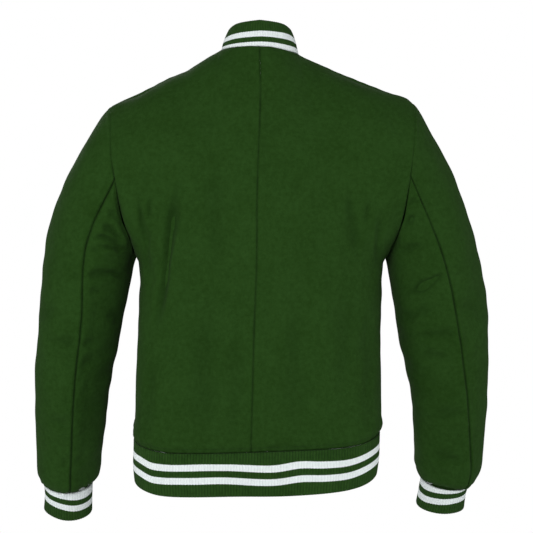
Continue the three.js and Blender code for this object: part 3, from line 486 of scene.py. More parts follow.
def waves(points, size, seed, count=14):
    """A smooth uneven field of about unit height, whose bumps are about size across."""
    random = np.random.default_rng(seed)
    ways = unit(random.normal(size=(count, 3))) * (math.tau / (size * 2))
    ways *= random.uniform(0.6, 1.6, (count, 1))
    phases = random.uniform(0, math.tau, count)
    return np.sum(np.sin(points @ ways.T + phases), axis=-1) * math.sqrt(2 / count)


# What sewing and wearing do to the cloth, in millimetres along its normal
GROOVE_WIDTH = 1.7
FREE_EDGE_ROUND = 0.9  # how far a free edge is rounded off, and over what width
FREE_EDGE_WIDTH = 1.2
WELT_WIDTH = 8
PUCKER_HEIGHT = 0.55
PUCKER_REACH = 11
PUCKER_SIZE = 13
HEM_GATHER = 1.1
HEM_GATHER_SIZE = 13
HEM_GATHER_REACH = 14
HEM_BULGE = 3.0
HEM_BULGE_AWAY = 14
HEM_BULGE_WIDTH = 10
HEM_TUCK = 1.5
HEM_TUCK_WIDTH = 5
CUFF_BULGE = 0.8
CUFF_GATHER = 0.8
# How dark the shade painted into the crease troughs is
CREASE_SHADE = 0.6
CALM = 14  # width of the border that creases and unevenness fade over
UNDER_SINK = 4.5
EASE = 1.3
EASE_SIZE = 70
HANDLING = 0.4
HANDLING_SIZE = 22


def crease_depth(piece, side, p):
    """Depth of the creases, and how deep in a trough each point lies, from 0 to 1, which sets the shade
    painted into the troughs.
    """
    depth = np.zeros(p.shape[:-1])
    shade = np.zeros(p.shape[:-1])
    for deep, wide, *line in CREASES[piece, side]:
        line = np.array(line, float) * [side, 1]
        steps = np.linalg.norm(np.diff(line, axis=0), axis=1)
        starts = np.concatenate([[0], np.cumsum(steps)])
        off = np.full(p.shape[:-1], np.inf)
        along = np.zeros(p.shape[:-1])
        for start, end, step, before in zip(line, line[1:], steps, starts):
            from_start = p[..., ::2] - start
            share = np.clip(from_start @ (end - start) / step**2, 0, 1)
            gap = np.linalg.norm(from_start - share[..., None] * (end - start), axis=-1)
            nearer = gap < off
            off = np.where(nearer, gap, off)
            along = np.where(nearer, (before + share * step) / starts[-1], along)
        uneven = 1 + 0.25 * np.sin(along * 9 + line[0, 0])
        fade = smooth(0, 0.3, along) * smooth(0, 0.3, 1 - along)
        width = wide * uneven * (0.6 + 0.4 * fade)
        trough = np.exp(-((off / width) ** 2)) * (0.25 + 0.75 * fade)
        ridge = np.exp(-(((off - 1.9 * width) / (0.8 * width)) ** 2)) * fade
        depth += deep * (trough - 0.25 * ridge)
        # Mask of the shade painted into the troughs
        shade = np.maximum(shade, trough * min(max(deep, 0) / 6, 1))
    return depth, shade


class Panel:
    """A wool piece: its grid of points before hanging, their distances from each edge, and what shapes it."""

    def __init__(self, piece, side, grid, middle, free=()):
        self.piece = piece
        self.side = side
        self.grid = grid
        self.normals = grid_normals(grid, middle)
        across = lengths_along(grid, 0)
        along = lengths_along(grid, 1)
        self.edges = {
            "first": across,
            "last": across[-1:] - across,
            "low": along,
            "top": along[:, -1:] - along,
        }
        self.free = free
        self.depth = np.zeros(grid.shape[:-1])
        self.groove_and_painted_shade = np.zeros(grid.shape[:-1])

    def along(self, edge):
        """Length along an edge, for what varies down a seam."""
        return self.edges["low" if edge in ("first", "last") else "first"]

    def nearest(self):
        """Distance from the nearest edge."""
        return np.minimum.reduce(list(self.edges.values()))

    def sew(self, seams):
        """seams gives, by edge, how deep the seam line sinks, how much shade is painted along it and the
        height of the welt beside it. Each may vary along the seam."""
        for k, (edge, away) in enumerate(self.edges.items()):
            if edge in self.free:
                self.depth += FREE_EDGE_ROUND * np.exp(-((away / FREE_EDGE_WIDTH) ** 2))
                continue
            deep, dark, welt = seams[edge]
            line = self.along(edge)
            hold = 1 + 0.3 * np.sin(line / 9.0 + k) * np.sin(line / 23.0 + 2 * k)
            groove_and_painted_shade = np.exp(-((away / GROOVE_WIDTH) ** 2))
            # Painted shade: the seam's dark share darkens the cloth's colour along the seam line
            self.groove_and_painted_shade = np.maximum(self.groove_and_painted_shade, groove_and_painted_shade * dark)
            self.depth += deep * hold * groove_and_painted_shade
            pucker = waves(self.grid + k * 40, PUCKER_SIZE, 11 + k)
            self.depth -= PUCKER_HEIGHT * pucker * np.exp(-away / PUCKER_REACH) * (1 - groove_and_painted_shade)
            ridge = (1 - smooth(WELT_WIDTH - 3, WELT_WIDTH, away)) * smooth(0, 2.5, away)
            self.depth -= welt * ridge * (0.8 + 0.3 * np.sin(line / 17 + k))

    def crease(self):
        seen = self.normals[..., 1] * (-1 if self.piece == "front" else 1)
        inside = smooth(0, CALM, self.nearest())
        depth, shade = crease_depth(self.piece, self.side, self.grid)
        self.depth += depth * inside * smooth(0, 0.5, seen)
        # Painted shade: the colour darkens in the crease troughs
        self.groove_and_painted_shade = np.maximum(self.groove_and_painted_shade, CREASE_SHADE * shade * inside * smooth(0, 0.3, seen))

    def ease(self):
        soft = 0.65 + 0.35 * waves(self.grid, 160, 5)
        calm = smooth(0, CALM, self.nearest())
        stretched = self.grid * np.array([1, 1, 0.55])
        self.depth += EASE * waves(stretched + 300 * self.side, EASE_SIZE, 21) * soft * calm
        self.depth += HANDLING * waves(self.grid, HANDLING_SIZE, 31) * calm

    def gather(self, edge, bulge, gather):
        """The cloth swells before a rib knit piece, and is drawn up in small uneven pleats."""
        away = self.edges[edge]
        line = self.along(edge)
        pleats = np.sin(line * math.tau / HEM_GATHER_SIZE + 1.7 * np.sin(line / 31))
        self.depth += HEM_TUCK * np.exp(-((away / HEM_TUCK_WIDTH) ** 2))
        self.depth -= bulge * np.exp(-(((away - HEM_BULGE_AWAY) / HEM_BULGE_WIDTH) ** 2))
        self.depth += gather * pleats * np.exp(-away / HEM_GATHER_REACH) * smooth(0, 3, away)

    def shaped(self):
        return self.grid - self.normals * self.depth[..., None]

    def row(self, edge, away, part=slice(None)):
        """Points on the cloth's face at a distance from one edge, as the jacket hangs."""
        face = hang(mirrored(self.shaped() + self.normals * THREAD_LIFT, self.side))
        apart = self.edges[edge]
        if edge in ("first", "last"):
            face, apart = face.swapaxes(0, 1), apart.T
        points = []
        for line, gap in zip(face[part], apart[part]):
            order = np.argsort(gap)
            points.append([np.interp(away, gap[order], line[order, k]) for k in range(3)])
        return np.array(points)


# Meshes
def add_object(name, data):
    obj = bpy.data.objects.new(name, data)
    bpy.context.scene.collection.objects.link(obj)
    return obj


def new_object(name, points, faces, corner_uv=None, fields=None):
    """points in millimetres, faces as tuples of point numbers, corner_uv one pair for each face corner."""
    mesh = bpy.data.meshes.new(name)
    mesh.from_pydata((points * MM).tolist(), [], faces)
    mesh.polygons.foreach_set("use_smooth", [True] * len(mesh.polygons))
    if corner_uv is not None:
        layer = mesh.uv_layers.new(name="cloth")
        layer.data.foreach_set("uv", np.asarray(corner_uv, np.float32).ravel())
    for key, values in (fields or {}).items():
        field = mesh.attributes.new(key, "FLOAT", "POINT")
        field.data.foreach_set("value", np.asarray(values, np.float32))
    mesh.validate()
    return add_object(name, mesh)


def facing_out(points, quads):
    """Whether a closed mesh of quads has its faces pointing out."""
    a, b, c, d = (points[quads[:, k]] for k in range(4))
    return sum(np.sum(a * np.cross(p, q)) for p, q in ((b, c), (c, d))) > 0


def used_only(points, faces, *fields):
    """Drops the points that no face uses."""
    used = np.unique(faces)
    number = np.full(len(points), -1)
    number[used] = np.arange(len(used))
    return points[used], number[faces], [f[used] for f in fields]


def cloth_shell(name, panel, thick, kept=None):
    """A thin closed wall from a panel's grid: outer points, inner points and the rim between them."""
    outer = hang(mirrored(panel.shaped(), panel.side))
    within = panel.grid - panel.normals * (np.minimum(panel.depth, 6) + thick)[..., None]
    inner = hang(mirrored(within, panel.side))
    rows, columns = outer.shape[:2]
    number = np.arange(rows * columns).reshape(rows, columns)
    quads = np.stack([number[:-1, :-1], number[1:, :-1], number[1:, 1:], number[:-1, 1:]], axis=-1)
    quads = quads[kept] if kept is not None else quads.reshape(-1, 4)
    edges = np.concatenate([quads[:, [k, (k + 1) % 4]] for k in range(4)])
    _, first, count = np.unique(np.sort(edges, axis=1), axis=0, return_index=True, return_counts=True)
    rim = edges[first[count == 1]]
    total = rows * columns
    sides = np.stack([rim[:, 1], rim[:, 0], rim[:, 0] + total, rim[:, 1] + total], axis=-1)
    faces = np.concatenate([quads, quads[:, ::-1] + total, sides])
    points = np.concatenate([outer.reshape(-1, 3), inner.reshape(-1, 3)])
    # The shade painted along seams and in crease troughs goes to the material, on the outer points only
    groove_and_painted_shade = np.concatenate([panel.groove_and_painted_shade.ravel(), np.zeros(total)])
    inside = np.concatenate([np.zeros(total), np.ones(total)])
    points, faces, (groove_and_painted_shade, inside) = used_only(points, faces, groove_and_painted_shade, inside)
    if not facing_out(points, faces):
        faces = faces[:, ::-1]
    return new_object(name, points, faces.tolist(), fields={"groove_and_painted_shade": groove_and_painted_shade, "inside": inside})


def cut_size(grid, kept=None):
    """Greatest width and length of a panel's grid, and its area, in metres."""
    across = lengths_along(grid, 0)[-1].max()
    along = lengths_along(grid, 1)[:, -1].max()
    du = grid[1:, :-1] - grid[:-1, :-1]
    dv = grid[:-1, 1:] - grid[:-1, :-1]
    cells = np.linalg.norm(np.cross(du, dv), axis=-1)
    if kept is not None:
        cells = cells * kept
    return (across * MM, along * MM), float(cells.sum()) * MM * MM


# Wool panels
HEM_ROWS = 60
CHEST_ROWS = 84
PANEL_LINES = 96
TAB_ROWS = 16
TAB_LINES = 14
TAB_APART = 60  # keeps the gathers off the tab beside the hem band
RING_LINES = {"top": 92, "under": 88}
CAP_ROWS = 54
TUBE_ROWS = 110
ARMHOLE_CALM_Z = (-215, -150)
UNDER_SINK_Z = (-270, -225)
FINE = 0.35  # mean step's share at a seam


def body_panel(face, side):
    levels = [spaced(-1, 0, HEM_ROWS, first=FINE), spaced(0, 1, CHEST_ROWS, last=FINE)[1:]]
    if face == "front":
        foot = -1 - BAND_HEIGHT / (underarm_z(0.0) - HEM_SEAM_Z)
        levels.insert(0, spaced(foot, -1, TAB_ROWS)[:-1])
        tab = spaced(0, 1, TAB_LINES, first=FINE)
        lines = [tab, spaced(1, ACROSS, PANEL_LINES - TAB_LINES, last=FINE)[1:]]
    else:
        lines = [spaced(0, ACROSS, PANEL_LINES, first=FINE, last=FINE)]
    column, level = np.meshgrid(np.concatenate(lines), np.concatenate(levels), indexing="ij")
    grid = face_point(face, side, column_share(face, side, column, level), level)
    middle = stack(0 * level, 0 * level, grid[..., 2] - 40)
    panel = Panel(face, side, grid, middle, free=("first",) if face == "front" else ())
    kept = None
    if face == "front":
        kept = (level[:-1, :-1] > -1 - 1e-9) | (column[:-1, :-1] < 1 - 1e-9)
        hem = np.abs(panel.edges["low"] - panel.edges["low"][:, TAB_ROWS - 1 : TAB_ROWS])
        panel.edges["low"] = np.where(column > 1, hem, np.hypot(hem, TAB_APART))
    height = smooth(*ARMHOLE_CALM_Z, grid[..., 2])
    # Each seam: its depth, the shade painted along it, and the height of the welt beside it
    panel.sew(
        {
            "first": (0.8, 0.45, 0.35 if side > 0 else 0),
            "last": (lerp(0.8, 0.5, height), lerp(0.3, 0.12, height), 0.0),
            "low": (0.6, 0.1, 0.0),
            "top": (0.7, 0.2, 0.0),
        }
    )
    panel.crease()
    panel.ease()
    panel.gather("low", HEM_BULGE, HEM_GATHER)
    sewn = column[:, 0] >= (1 if face == "front" else 0)
    neck = column[:, 0] <= NECK_STEPS
    panel.rows = {"hem": panel.row("low", STITCH_AWAY, sewn), "collar": panel.row("top", STITCH_AWAY, neck)}
    if face == "front" and side > 0:
        panel.rows["front"] = panel.row("first", STITCH_AWAY)
    return panel, kept


def sleeve_panel(part, side):
    if part == "top":
        rings = (BACK_SEAM_RING, RING - FRONT_SEAM_RING)
    else:
        rings = (-FRONT_SEAM_RING, BACK_SEAM_RING)
    rings = spaced(*rings, RING_LINES[part], first=FINE, last=FINE)
    length = SLEEVE_TOP_Z - SLEEVE_END_Z
    cap = spaced(0, 1, CAP_ROWS, first=FINE)
    down = np.concatenate([cap, 1 + spaced(0, length, TUBE_ROWS, last=FINE)[1:]])
    ring, down = np.meshgrid(rings, down, indexing="ij")
    grid = sleeve_point(side, ring, down)
    z = np.clip(grid[..., 2], SLEEVE_END_Z, SLEEVE_TOP_Z)
    middle = sleeve_middle(side, z)
    middle[..., 2] = grid[..., 2]
    panel = Panel("sleeve", side, grid, middle)
    height = smooth(*ARMHOLE_CALM_Z, grid[..., 2])
    outer = part == "top"
    # Each seam: its depth, the shade painted along it, and the height of the welt beside it
    panel.sew(
        {
            "first": (1.5, 0.75, 0.8 if outer else 0),
            "last": (1.5, 0.75, 0.5 if outer else 0),
            "low": (lerp(0.7, 0.5, height), lerp(0.2, 0.12, height), 0.7 * height),
            "top": (0.9, 0.3, 0.0),
        }
    )
    if not outer:
        away = panel.edges["last"]
        below = 1 - smooth(*UNDER_SINK_Z, grid[..., 2])
        panel.depth += UNDER_SINK * smooth(0, 26, away) * (1 - smooth(34, 90, away)) * below
    panel.crease()
    panel.ease()
    panel.gather("top", CUFF_BULGE, CUFF_GATHER)
    return panel, None


def wool_piece(name, panel, kept, material):
    piece = cloth_shell(f"{name}_wool", panel, WOOL, kept)
    piece.data.materials.append(material)
    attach(piece, "root")
    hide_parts(name)
    flat, area = cut_size(panel.grid, kept)
    return piece


# Rib knit pieces
HEM_KNIT_ROWS = 25
KNIT_ROWS = 19
CURVE_POINTS = 1600
COLLAR_HEIGHT = 43
COLLAR_END = 0.53  # how far short of the front's edge it ends, in steps of the neck
COLLAR_END_TURN = 180 - 90 / NECK_STEPS * COLLAR_END
# White stripes, in millimetres above the foot of each band. On the collar, height 0 is its folded top edge.
# The colours change over within the edge's width on each side of a stripe's border.
STRIPE_EDGE = 0.25
HEM_STRIPES = [(16.4, 25.2), (34, 42.8)]
CUFF_STRIPES = [(14.5, 24), (33.2, 60)]
COLLAR_STRIPES = [(19.8, 29), (37.3, 46)]
# How much higher each band's stripes lie, by x
HEM_STRIPE_LINE = Table(
    "x rise",
    (-185, 2.5), (-159, 1.6), (-130, -0.8), (-94, 0.2), (-58, 1.8), (-22, -1.6),
    (14, -1), (50, 1), (115, 1.1), (144, 0.4), (158, -0.3), (173, 1.5),
)
CUFF_STRIPE_LINE = {
    1: Table("x rise", (268, 0), (285, 1), (301, 3), (317, 5.5), (330, 7.5)),
    -1: Table("x rise", (-318, 6), (-302, 4.2), (-286, 2), (-271, 0.6), (-256, -1.5)),
}
COLLAR_STRIPE_LINE = Table("x rise", (-50, -2.4), (-30, -1.6), (-8, -0.5), (14, 0.4), (44, 1.1))


def fold_profile(height, rows):
    """Points round the section of a knit folded double: height up it, depth into it and share of the ribs'
    relief. It goes down the outside, round the fold at the foot and up the inside."""
    radius = KNIT / 2
    outside = [(h, 0.0, 1.0) for h in np.linspace(height, radius, rows)]
    fold = []
    for turn in np.linspace(0, math.pi, 7)[1:-1]:
        fold.append((radius - radius * math.sin(turn), radius - radius * math.cos(turn), math.cos(turn / 2)))
    inside = [(h, KNIT, 0.0) for h in np.linspace(radius, height, 5)]
    return np.array(outside + fold + inside)


def rib_piece(name, place, length, height, rows, closed, stripe_line):
    """place(share, height, depth) gives the points of a band of that length, with ribs raised on its outside.
    stripe_line gives how much higher the knit's rows lie by x."""
    ribs = round(length / RIB_PITCH)
    share = np.linspace(0, 1, ribs * RIB_POINTS + 1)
    profile = fold_profile(height, rows)
    phase = share * ribs
    wale = np.abs(np.cos(math.pi * phase)) ** 0.8
    relief = RIB_DEPTH * wale[:, None] * profile[:, 2]
    points = hang(place(share[:, None], profile[:, 0], profile[:, 1] - relief))
    lines, around = points.shape[:2]
    number = np.arange(lines * around).reshape(lines, around)
    if closed:
        number[-1] = number[0]
    turned = np.roll(number, -1, axis=1)
    quads = np.stack([number[:-1], number[1:], turned[1:], turned[:-1]], axis=-1).reshape(-1, 4)
    v = profile[:, 0] - stripe_line.read("rise", points[..., 0])
    u = np.broadcast_to(phase[:, None], number.shape)
    uv = np.stack([u, v], axis=-1)
    rolled = np.roll(uv, -1, axis=1)
    corners = np.stack([uv[:-1], uv[1:], rolled[1:], rolled[:-1]], axis=2).reshape(-1, 4, 2)
    flat_points = points.reshape(-1, 3)
    out = facing_out(flat_points, quads)
    if not out:
        quads = quads[:, ::-1]
        corners = corners[:, ::-1]
    faces = quads.tolist()
    corner_uv = corners.reshape(-1, 2).tolist()
    # Mask of the shade painted into the rib valleys
    painted_valley_shade = np.broadcast_to((1 - wale)[:, None] * profile[:, 2], number.shape).ravel()
    if not closed:
        for line, flip in ((0, out), (-1, not out)):
            cap = number[line][::-1] if flip else number[line]
            faces.append(cap.tolist())
            corner_uv += uv[line][::-1].tolist() if flip else uv[line].tolist()
    else:
        flat_points = flat_points[: -around]
        painted_valley_shade = painted_valley_shade[: -around]
    return new_object(name, flat_points, faces, corner_uv, {"painted_valley_shade": painted_valley_shade})


def even_shares(points):
    """The parameter, 0 to 1, at even steps of length along a curve given by many points, and its length."""
    steps = np.linalg.norm(np.diff(points, axis=0), axis=-1)
    total = np.concatenate([[0], np.cumsum(steps)])
    places = np.linspace(0, 1, len(points))
    return (lambda share: np.interp(share, total / total[-1], places)), total[-1]


def band_point(u, z):
    """u runs from the left front's tab round the back to the right front's tab."""
    u, z = np.broadcast_arrays(np.asarray(u, float), np.asarray(z, float))
    quarter = np.clip(np.floor(u * 4), 0, 3)
    t = u * 4 - quarter
    level = (z - underarm_z(0.0)) / (underarm_z(0.0) - HEM_SEAM_Z)
    p = np.zeros(u.shape + (3,))
    for k, face, side in ((0, "front", 1), (1, "back", 1), (2, "back", -1), (3, "front", -1)):
        here = quarter == k
        if not here.any():
            continue
        tab = column_share("front", side, np.ones(here.sum()), level[here]) + 0.0018
        s = t[here]
        across = {0: lerp(tab, 1, s), 1: 1 - s, 2: s, 3: lerp(1, tab, s)}[k]
        own = (z[here] - underarm_z(across)) / (underarm_z(across) - HEM_SEAM_Z)
        p[here] = mirrored(face_point(face, side, across, own), side)
    return p


def hem_band():
    curve = band_point(np.linspace(0, 1, CURVE_POINTS), float(HEM_SEAM_Z))
    at, length = even_shares(curve)

    def place(share, height, depth):
        u, height = np.broadcast_arrays(at(share), height)
        z = HEM_SEAM_Z - BAND_HEIGHT + height * (BAND_HEIGHT - SEAM_GAP) / BAND_HEIGHT
        p = band_point(u, z)
        ahead = band_point(np.minimum(u + 0.002, 1), z) - band_point(np.maximum(u - 0.002, 0), z)
        normal = unit(stack(ahead[..., 1], -ahead[..., 0], 0 * z))
        normal *= np.sign(np.sum(normal * p * [1, 1, 0], axis=-1, keepdims=True))
        low = 1 - height / BAND_HEIGHT
        sway = 0.9 * waves(p * [1, 1, 0.3], 60, 41) * smooth(0, 0.5, low)
        sag = 1.1 * waves(p * [1, 1, 0], 75, 43) * smooth(0, 0.6, low)
        p[..., 2] += sag
        return p - normal * (depth - sway)[..., None]

    band = rib_piece("hem_band_knit", place, length, BAND_HEIGHT, HEM_KNIT_ROWS, False, HEM_STRIPE_LINE)
    return band, (length * MM, BAND_HEIGHT * MM)


def cuff(side, label):
    middle, up, wide, deep = sleeve_frame(side, np.array(float(SLEEVE_END_Z)))

    def place(share, height, depth):
        angle = math.tau * share
        v = height / CUFF_LENGTH[side]
        sway = 0.5 * np.sin(3 * angle + 1 + side) * (1 - v) + 0.35 * np.sin(5 * angle - 4 * v)
        radius = CUFF_RADIUS - CUFF_WAIST * np.sin(math.pi * v) - depth + sway
        drop = -(CUFF_LENGTH[side] - height) - SEAM_GAP / 2
        drop = drop + (0.8 * np.sin(2 * angle + side) + 2 * np.cos(angle)) * (1 - v)
        radius, drop = np.broadcast_arrays(radius, drop)
        along = up * drop[..., None]
        across = wide * (radius * np.cos(angle))[..., None]
        return mirrored(middle + along + across + deep * (radius * np.sin(angle))[..., None], side)

    length = math.tau * CUFF_RADIUS
    height = CUFF_LENGTH[side]
    piece = rib_piece(f"cuff_{label}_knit", place, length, height, KNIT_ROWS, True, CUFF_STRIPE_LINE[side])
    return piece, (length * MM, height * MM)


def neckline_point(side, turn):
    """turn runs from 0 at the centre back to 90 at the shoulder seam and 180 at the front's edge."""
    back = face_point("back", side, NECK_SHARE * np.minimum(turn, 90) / 90, 1.0)
    column = (180 - np.maximum(turn, 90)) / 90 * NECK_STEPS
    front = face_point("front", side, column_share("front", side, column, np.ones(turn.shape)), 1.0)
    return mirrored(np.where((turn <= 90)[..., None], back, front), side)


def collar():
    def base(u):
        turn = np.abs(2 * u - 1) * COLLAR_END_TURN
        left = neckline_point(1, turn)
        right = neckline_point(-1, turn)
        return np.where((u < 0.5)[..., None], left, right), turn

    at, length = even_shares(base(np.linspace(0, 1, CURVE_POINTS))[0])

    def place(share, height, depth):
        u = at(share[:, 0])
        p, turn = base(u)
        ahead = unit(base(np.minimum(u + 0.004, 1))[0] - base(np.maximum(u - 0.004, 0))[0])
        inwards = unit(stack(-p[:, 0], NECK_AXIS_Y - p[:, 1], 0 * turn))
        end = np.minimum(share[:, 0], 1 - share[:, 0]) * length
        corner = np.clip(1 - end / COLLAR_CORNER, 0, 1)
        tall = lerp(COLLAR_CORNER_HEIGHT, 1, np.sqrt(1 - corner**2))
        rise = inwards * COLLAR.read("lean", turn)[:, None]
        rise[:, 2] = COLLAR.read("height", turn)
        rise *= tall[:, None]
        normal = unit(np.cross(ahead, rise))
        normal *= np.sign(np.sum(normal * (p - [0, NECK_AXIS_Y, 0]) * [1, 1, 0], axis=1, keepdims=True))
        square = unit(rise - ahead * np.sum(rise * ahead, axis=1, keepdims=True))
        v = 1 - height / COLLAR_HEIGHT
        bow = 1.2 * np.sin(math.pi * v) * (1 - 0.5 * corner)[:, None]
        wave = 0.5 * waves(p, 40, 51)[:, None] * v
        out = (bow + wave - depth)[..., None]
        foot = (p + square * SEAM_GAP)[:, None]
        return foot + rise[:, None] * v[..., None] + normal[:, None] * out

    piece = rib_piece("collar_knit", place, length, COLLAR_HEIGHT, KNIT_ROWS, False, COLLAR_STRIPE_LINE)
    return piece, (length * MM, COLLAR_HEIGHT * MM)


def knit_piece(piece, node, flat, material):
    piece.data.materials.append(material)
    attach(piece, "root")
    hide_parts(node)
    return piece


# Snaps
SNAP_STEPS = 48
SNAP_PROFILE = [  # distance from the middle and height, from the foot's middle over the cap to its middle
    (0, 0), (6.6, 0), (7.3, 0.25), (7.5, 0.8), (7.45, 1.4), (7.1, 1.95), (6.5, 2.3), (6.0, 2.35),
    (5.6, 2.3), (5.3, 2.5), (4.6, 2.85), (3.4, 3.15), (2.0, 3.33), (0.9, 3.4), (0, 3.4),
]


def snap(node, material):
    """A turned cap in place of the plain one, at that one's place and on its axis."""
    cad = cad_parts[node]
    points = np.array([v.co for v in cad.data.vertices], float) / MM
    middle = (points.min(0) + points.max(0)) / 2
    axis = np.linalg.svd(points - points.mean(0), full_matrices=False)[2][2]
    axis *= -np.sign(axis[1])
    height = (points - middle) @ axis
    foot = middle + axis * height.min()
    side = unit(np.cross(axis, [0, 0, 1.0]))
    up = np.cross(side, axis)
    rings = np.array(SNAP_PROFILE[1:-1], float)
    angle = np.arange(SNAP_STEPS) * math.tau / SNAP_STEPS
    around = np.cos(angle)[:, None] * side + np.sin(angle)[:, None] * up
    grid = foot + rings[:, :1, None] * around + rings[:, 1:, None] * axis
    total = len(rings) * SNAP_STEPS
    number = np.arange(total).reshape(len(rings), SNAP_STEPS)
    turned = np.roll(number, -1, axis=1)
    faces = np.stack([number[:-1], number[1:], turned[1:], turned[:-1]], axis=-1).reshape(-1, 4).tolist()
    low, high = foot, foot + axis * SNAP_PROFILE[-1][1]
    for k in range(SNAP_STEPS):
        faces.append((number[0, k], turned[0, k], total))
        faces.append((turned[-1, k], number[-1, k], total + 1))
    made = np.concatenate([grid.reshape(-1, 3), [low, high]])
    a, b, c = (made[[f[j] for f in faces]] for j in range(3))
    if np.einsum("ij,ij->i", a - foot, np.cross(b - foot, c - foot)).sum() < 0:
        faces = [tuple(reversed(f)) for f in faces]
    piece = new_object(f"{node}_cap", made, faces)
    piece.data.materials.append(material)
    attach(piece, "root")
    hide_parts(node)
    return piece


# Rows of stitches
THREAD_LIFT = 0.1
STITCH_AWAY = 6.5
STITCH_PITCH = 3.3
STITCH_LENGTH = 2.5
THREAD = 0.55


def stitch_tree():
    """Lays a short thread along every step of the paths it is given."""
    tree = bpy.data.node_groups.new("stitch row", "GeometryNodeTree")
    face = tree.interface
    face.new_socket("Paths", in_out="INPUT", socket_type="NodeSocketGeometry")
    for name, value in (("Pitch", STITCH_PITCH), ("Length", STITCH_LENGTH), ("Thickness", THREAD)):
        face.new_socket(name, in_out="INPUT", socket_type="NodeSocketFloat").default_value = value * MM
    face.new_socket("Thread", in_out="INPUT", socket_type="NodeSocketMaterial")
    face.new_socket("Stitches", in_out="OUTPUT", socket_type="NodeSocketGeometry")
    n = Nodes(tree)
    given = tree.nodes.new("NodeGroupInput").outputs
    curve = n.add("GeometryNodeMeshToCurve", {"Mesh": given["Paths"]}).outputs[0]
    spacing = {"Curve": curve, "Length": given["Pitch"]}
    steps = n.add("GeometryNodeResampleCurve", spacing, mode="LENGTH").outputs[0]
    bead = n.add("GeometryNodeMeshUVSphere", {"Segments": 8, "Rings": 6, "Radius": 0.5}).outputs["Mesh"]
    thick = given["Thickness"]
    size = n.add("ShaderNodeCombineXYZ", {"X": thick, "Y": thick, "Z": given["Length"]})
    thread = n.add("GeometryNodeTransform", {"Geometry": bead, "Scale": size.outputs[0]}).outputs[0]
    tangent = n.add("GeometryNodeInputTangent").outputs[0]
    turn = n.add("FunctionNodeAlignRotationToVector", {"Vector": tangent}, axis="Z").outputs[0]
    copies = {"Points": steps, "Instance": thread, "Rotation": turn}
    laid = n.add("GeometryNodeInstanceOnPoints", copies).outputs[0]
    real = n.add("GeometryNodeRealizeInstances", {"Geometry": laid}).outputs[0]
    soft = n.add("GeometryNodeSetShadeSmooth", {"Geometry": real}).outputs[0]
    done = n.add("GeometryNodeSetMaterial", {"Geometry": soft, "Material": given["Thread"]}).outputs[0]
    n.set(tree.nodes.new("NodeGroupOutput").inputs[0], done)
    return tree


def stitches(name, rows, tree, thread):
    """A piece with a stitch at every step of each row of points."""
    points = np.concatenate(rows)
    edges, start = [], 0
    for row in rows:
        edges += [(start + k, start + k + 1) for k in range(len(row) - 1)]
        start += len(row)
    mesh = bpy.data.meshes.new(name)
    mesh.from_pydata((points * MM).tolist(), edges, [])
    path = add_object(f"{name} path", mesh)
    modifier = path.modifiers.new("stitches", "NODES")
    modifier.node_group = tree
    sockets = {item.name: item.identifier for item in tree.interface.items_tree}
    modifier[sockets["Pitch"]] = STITCH_PITCH * MM
    modifier[sockets["Length"]] = STITCH_LENGTH * MM
    modifier[sockets["Thickness"]] = THREAD * MM
    modifier[sockets["Thread"]] = thread
    evaluated = path.evaluated_get(bpy.context.evaluated_depsgraph_get())
    made = bpy.data.meshes.new_from_object(evaluated)
    path.modifiers.remove(modifier)
    bpy.data.objects.remove(path)
    piece = add_object(name, made)
    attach(piece, "root")
    return piece


# Shader helpers
class Nodes:
    """Adds and links nodes of one tree by short calls."""

    def __init__(self, tree):
        self.tree = tree

    def add(self, kind, inputs=None, **settings):
        node = self.tree.nodes.new(kind)
        for key, value in settings.items():
            setattr(node, key, value)
        for key, value in (inputs or {}).items():
            self.set(node.inputs[key], value)
        return node

    def set(self, socket, value):
        if isinstance(value, bpy.types.NodeSocket):
            self.tree.links.new(value, socket)
        else:
            socket.default_value = value

    def math(self, operation, a, b=0.0, c=0.0):
        node = self.add("ShaderNodeMath", operation=operation)
        for socket, value in zip(node.inputs, (a, b, c)):
            self.set(socket, value)
        return node.outputs[0]

    def mix(self, share, a, b):
        node = self.add("ShaderNodeMix", data_type="RGBA")
        self.set(node.inputs[0], share)
        self.set(node.inputs[6], a)
        self.set(node.inputs[7], b)
        return node.outputs[2]

    def noise(self, place, scale, detail=2.0, rough=0.5):
        node = self.add("ShaderNodeTexNoise", {"Scale": scale, "Detail": detail, "Roughness": rough})
        self.set(node.inputs["Vector"], place)
        return node.outputs["Fac"]

    def ramp(self, value, low, high):
        node = self.add("ShaderNodeMapRange", {"From Min": low, "From Max": high})
        node.interpolation_type = "SMOOTHSTEP"
        self.set(node.inputs["Value"], value)
        return node.outputs["Result"]


def group(name, inputs, outputs):
    """A shader node group with named sockets: inputs and outputs are (name, kind) or (name, kind, value)."""
    tree = bpy.data.node_groups.new(name, "ShaderNodeTree")
    for way, rows in (("INPUT", inputs), ("OUTPUT", outputs)):
        for row in rows:
            socket = tree.interface.new_socket(row[0], in_out=way, socket_type=f"NodeSocket{row[1]}")
            if len(row) > 2:
                socket.default_value = row[2]
    nodes = Nodes(tree)
    start = tree.nodes.new("NodeGroupInput")
    end = tree.nodes.new("NodeGroupOutput")
    return tree, nodes, start.outputs, end.inputs


WOOL_FIBRE = 900.0  # how fine the nap is, as a noise scale
KNIT_FIBRE = 1400.0
# Painted shade: the colour the wool turns to along seams and in crease troughs
SEAM_SHADE = (0.003, 0.011, 0.0015, 1)
# Painted shade: the colour the knit turns to in the rib valleys and between the loops
VALLEY_SHADE = (0.005, 0.012, 0.004, 1)


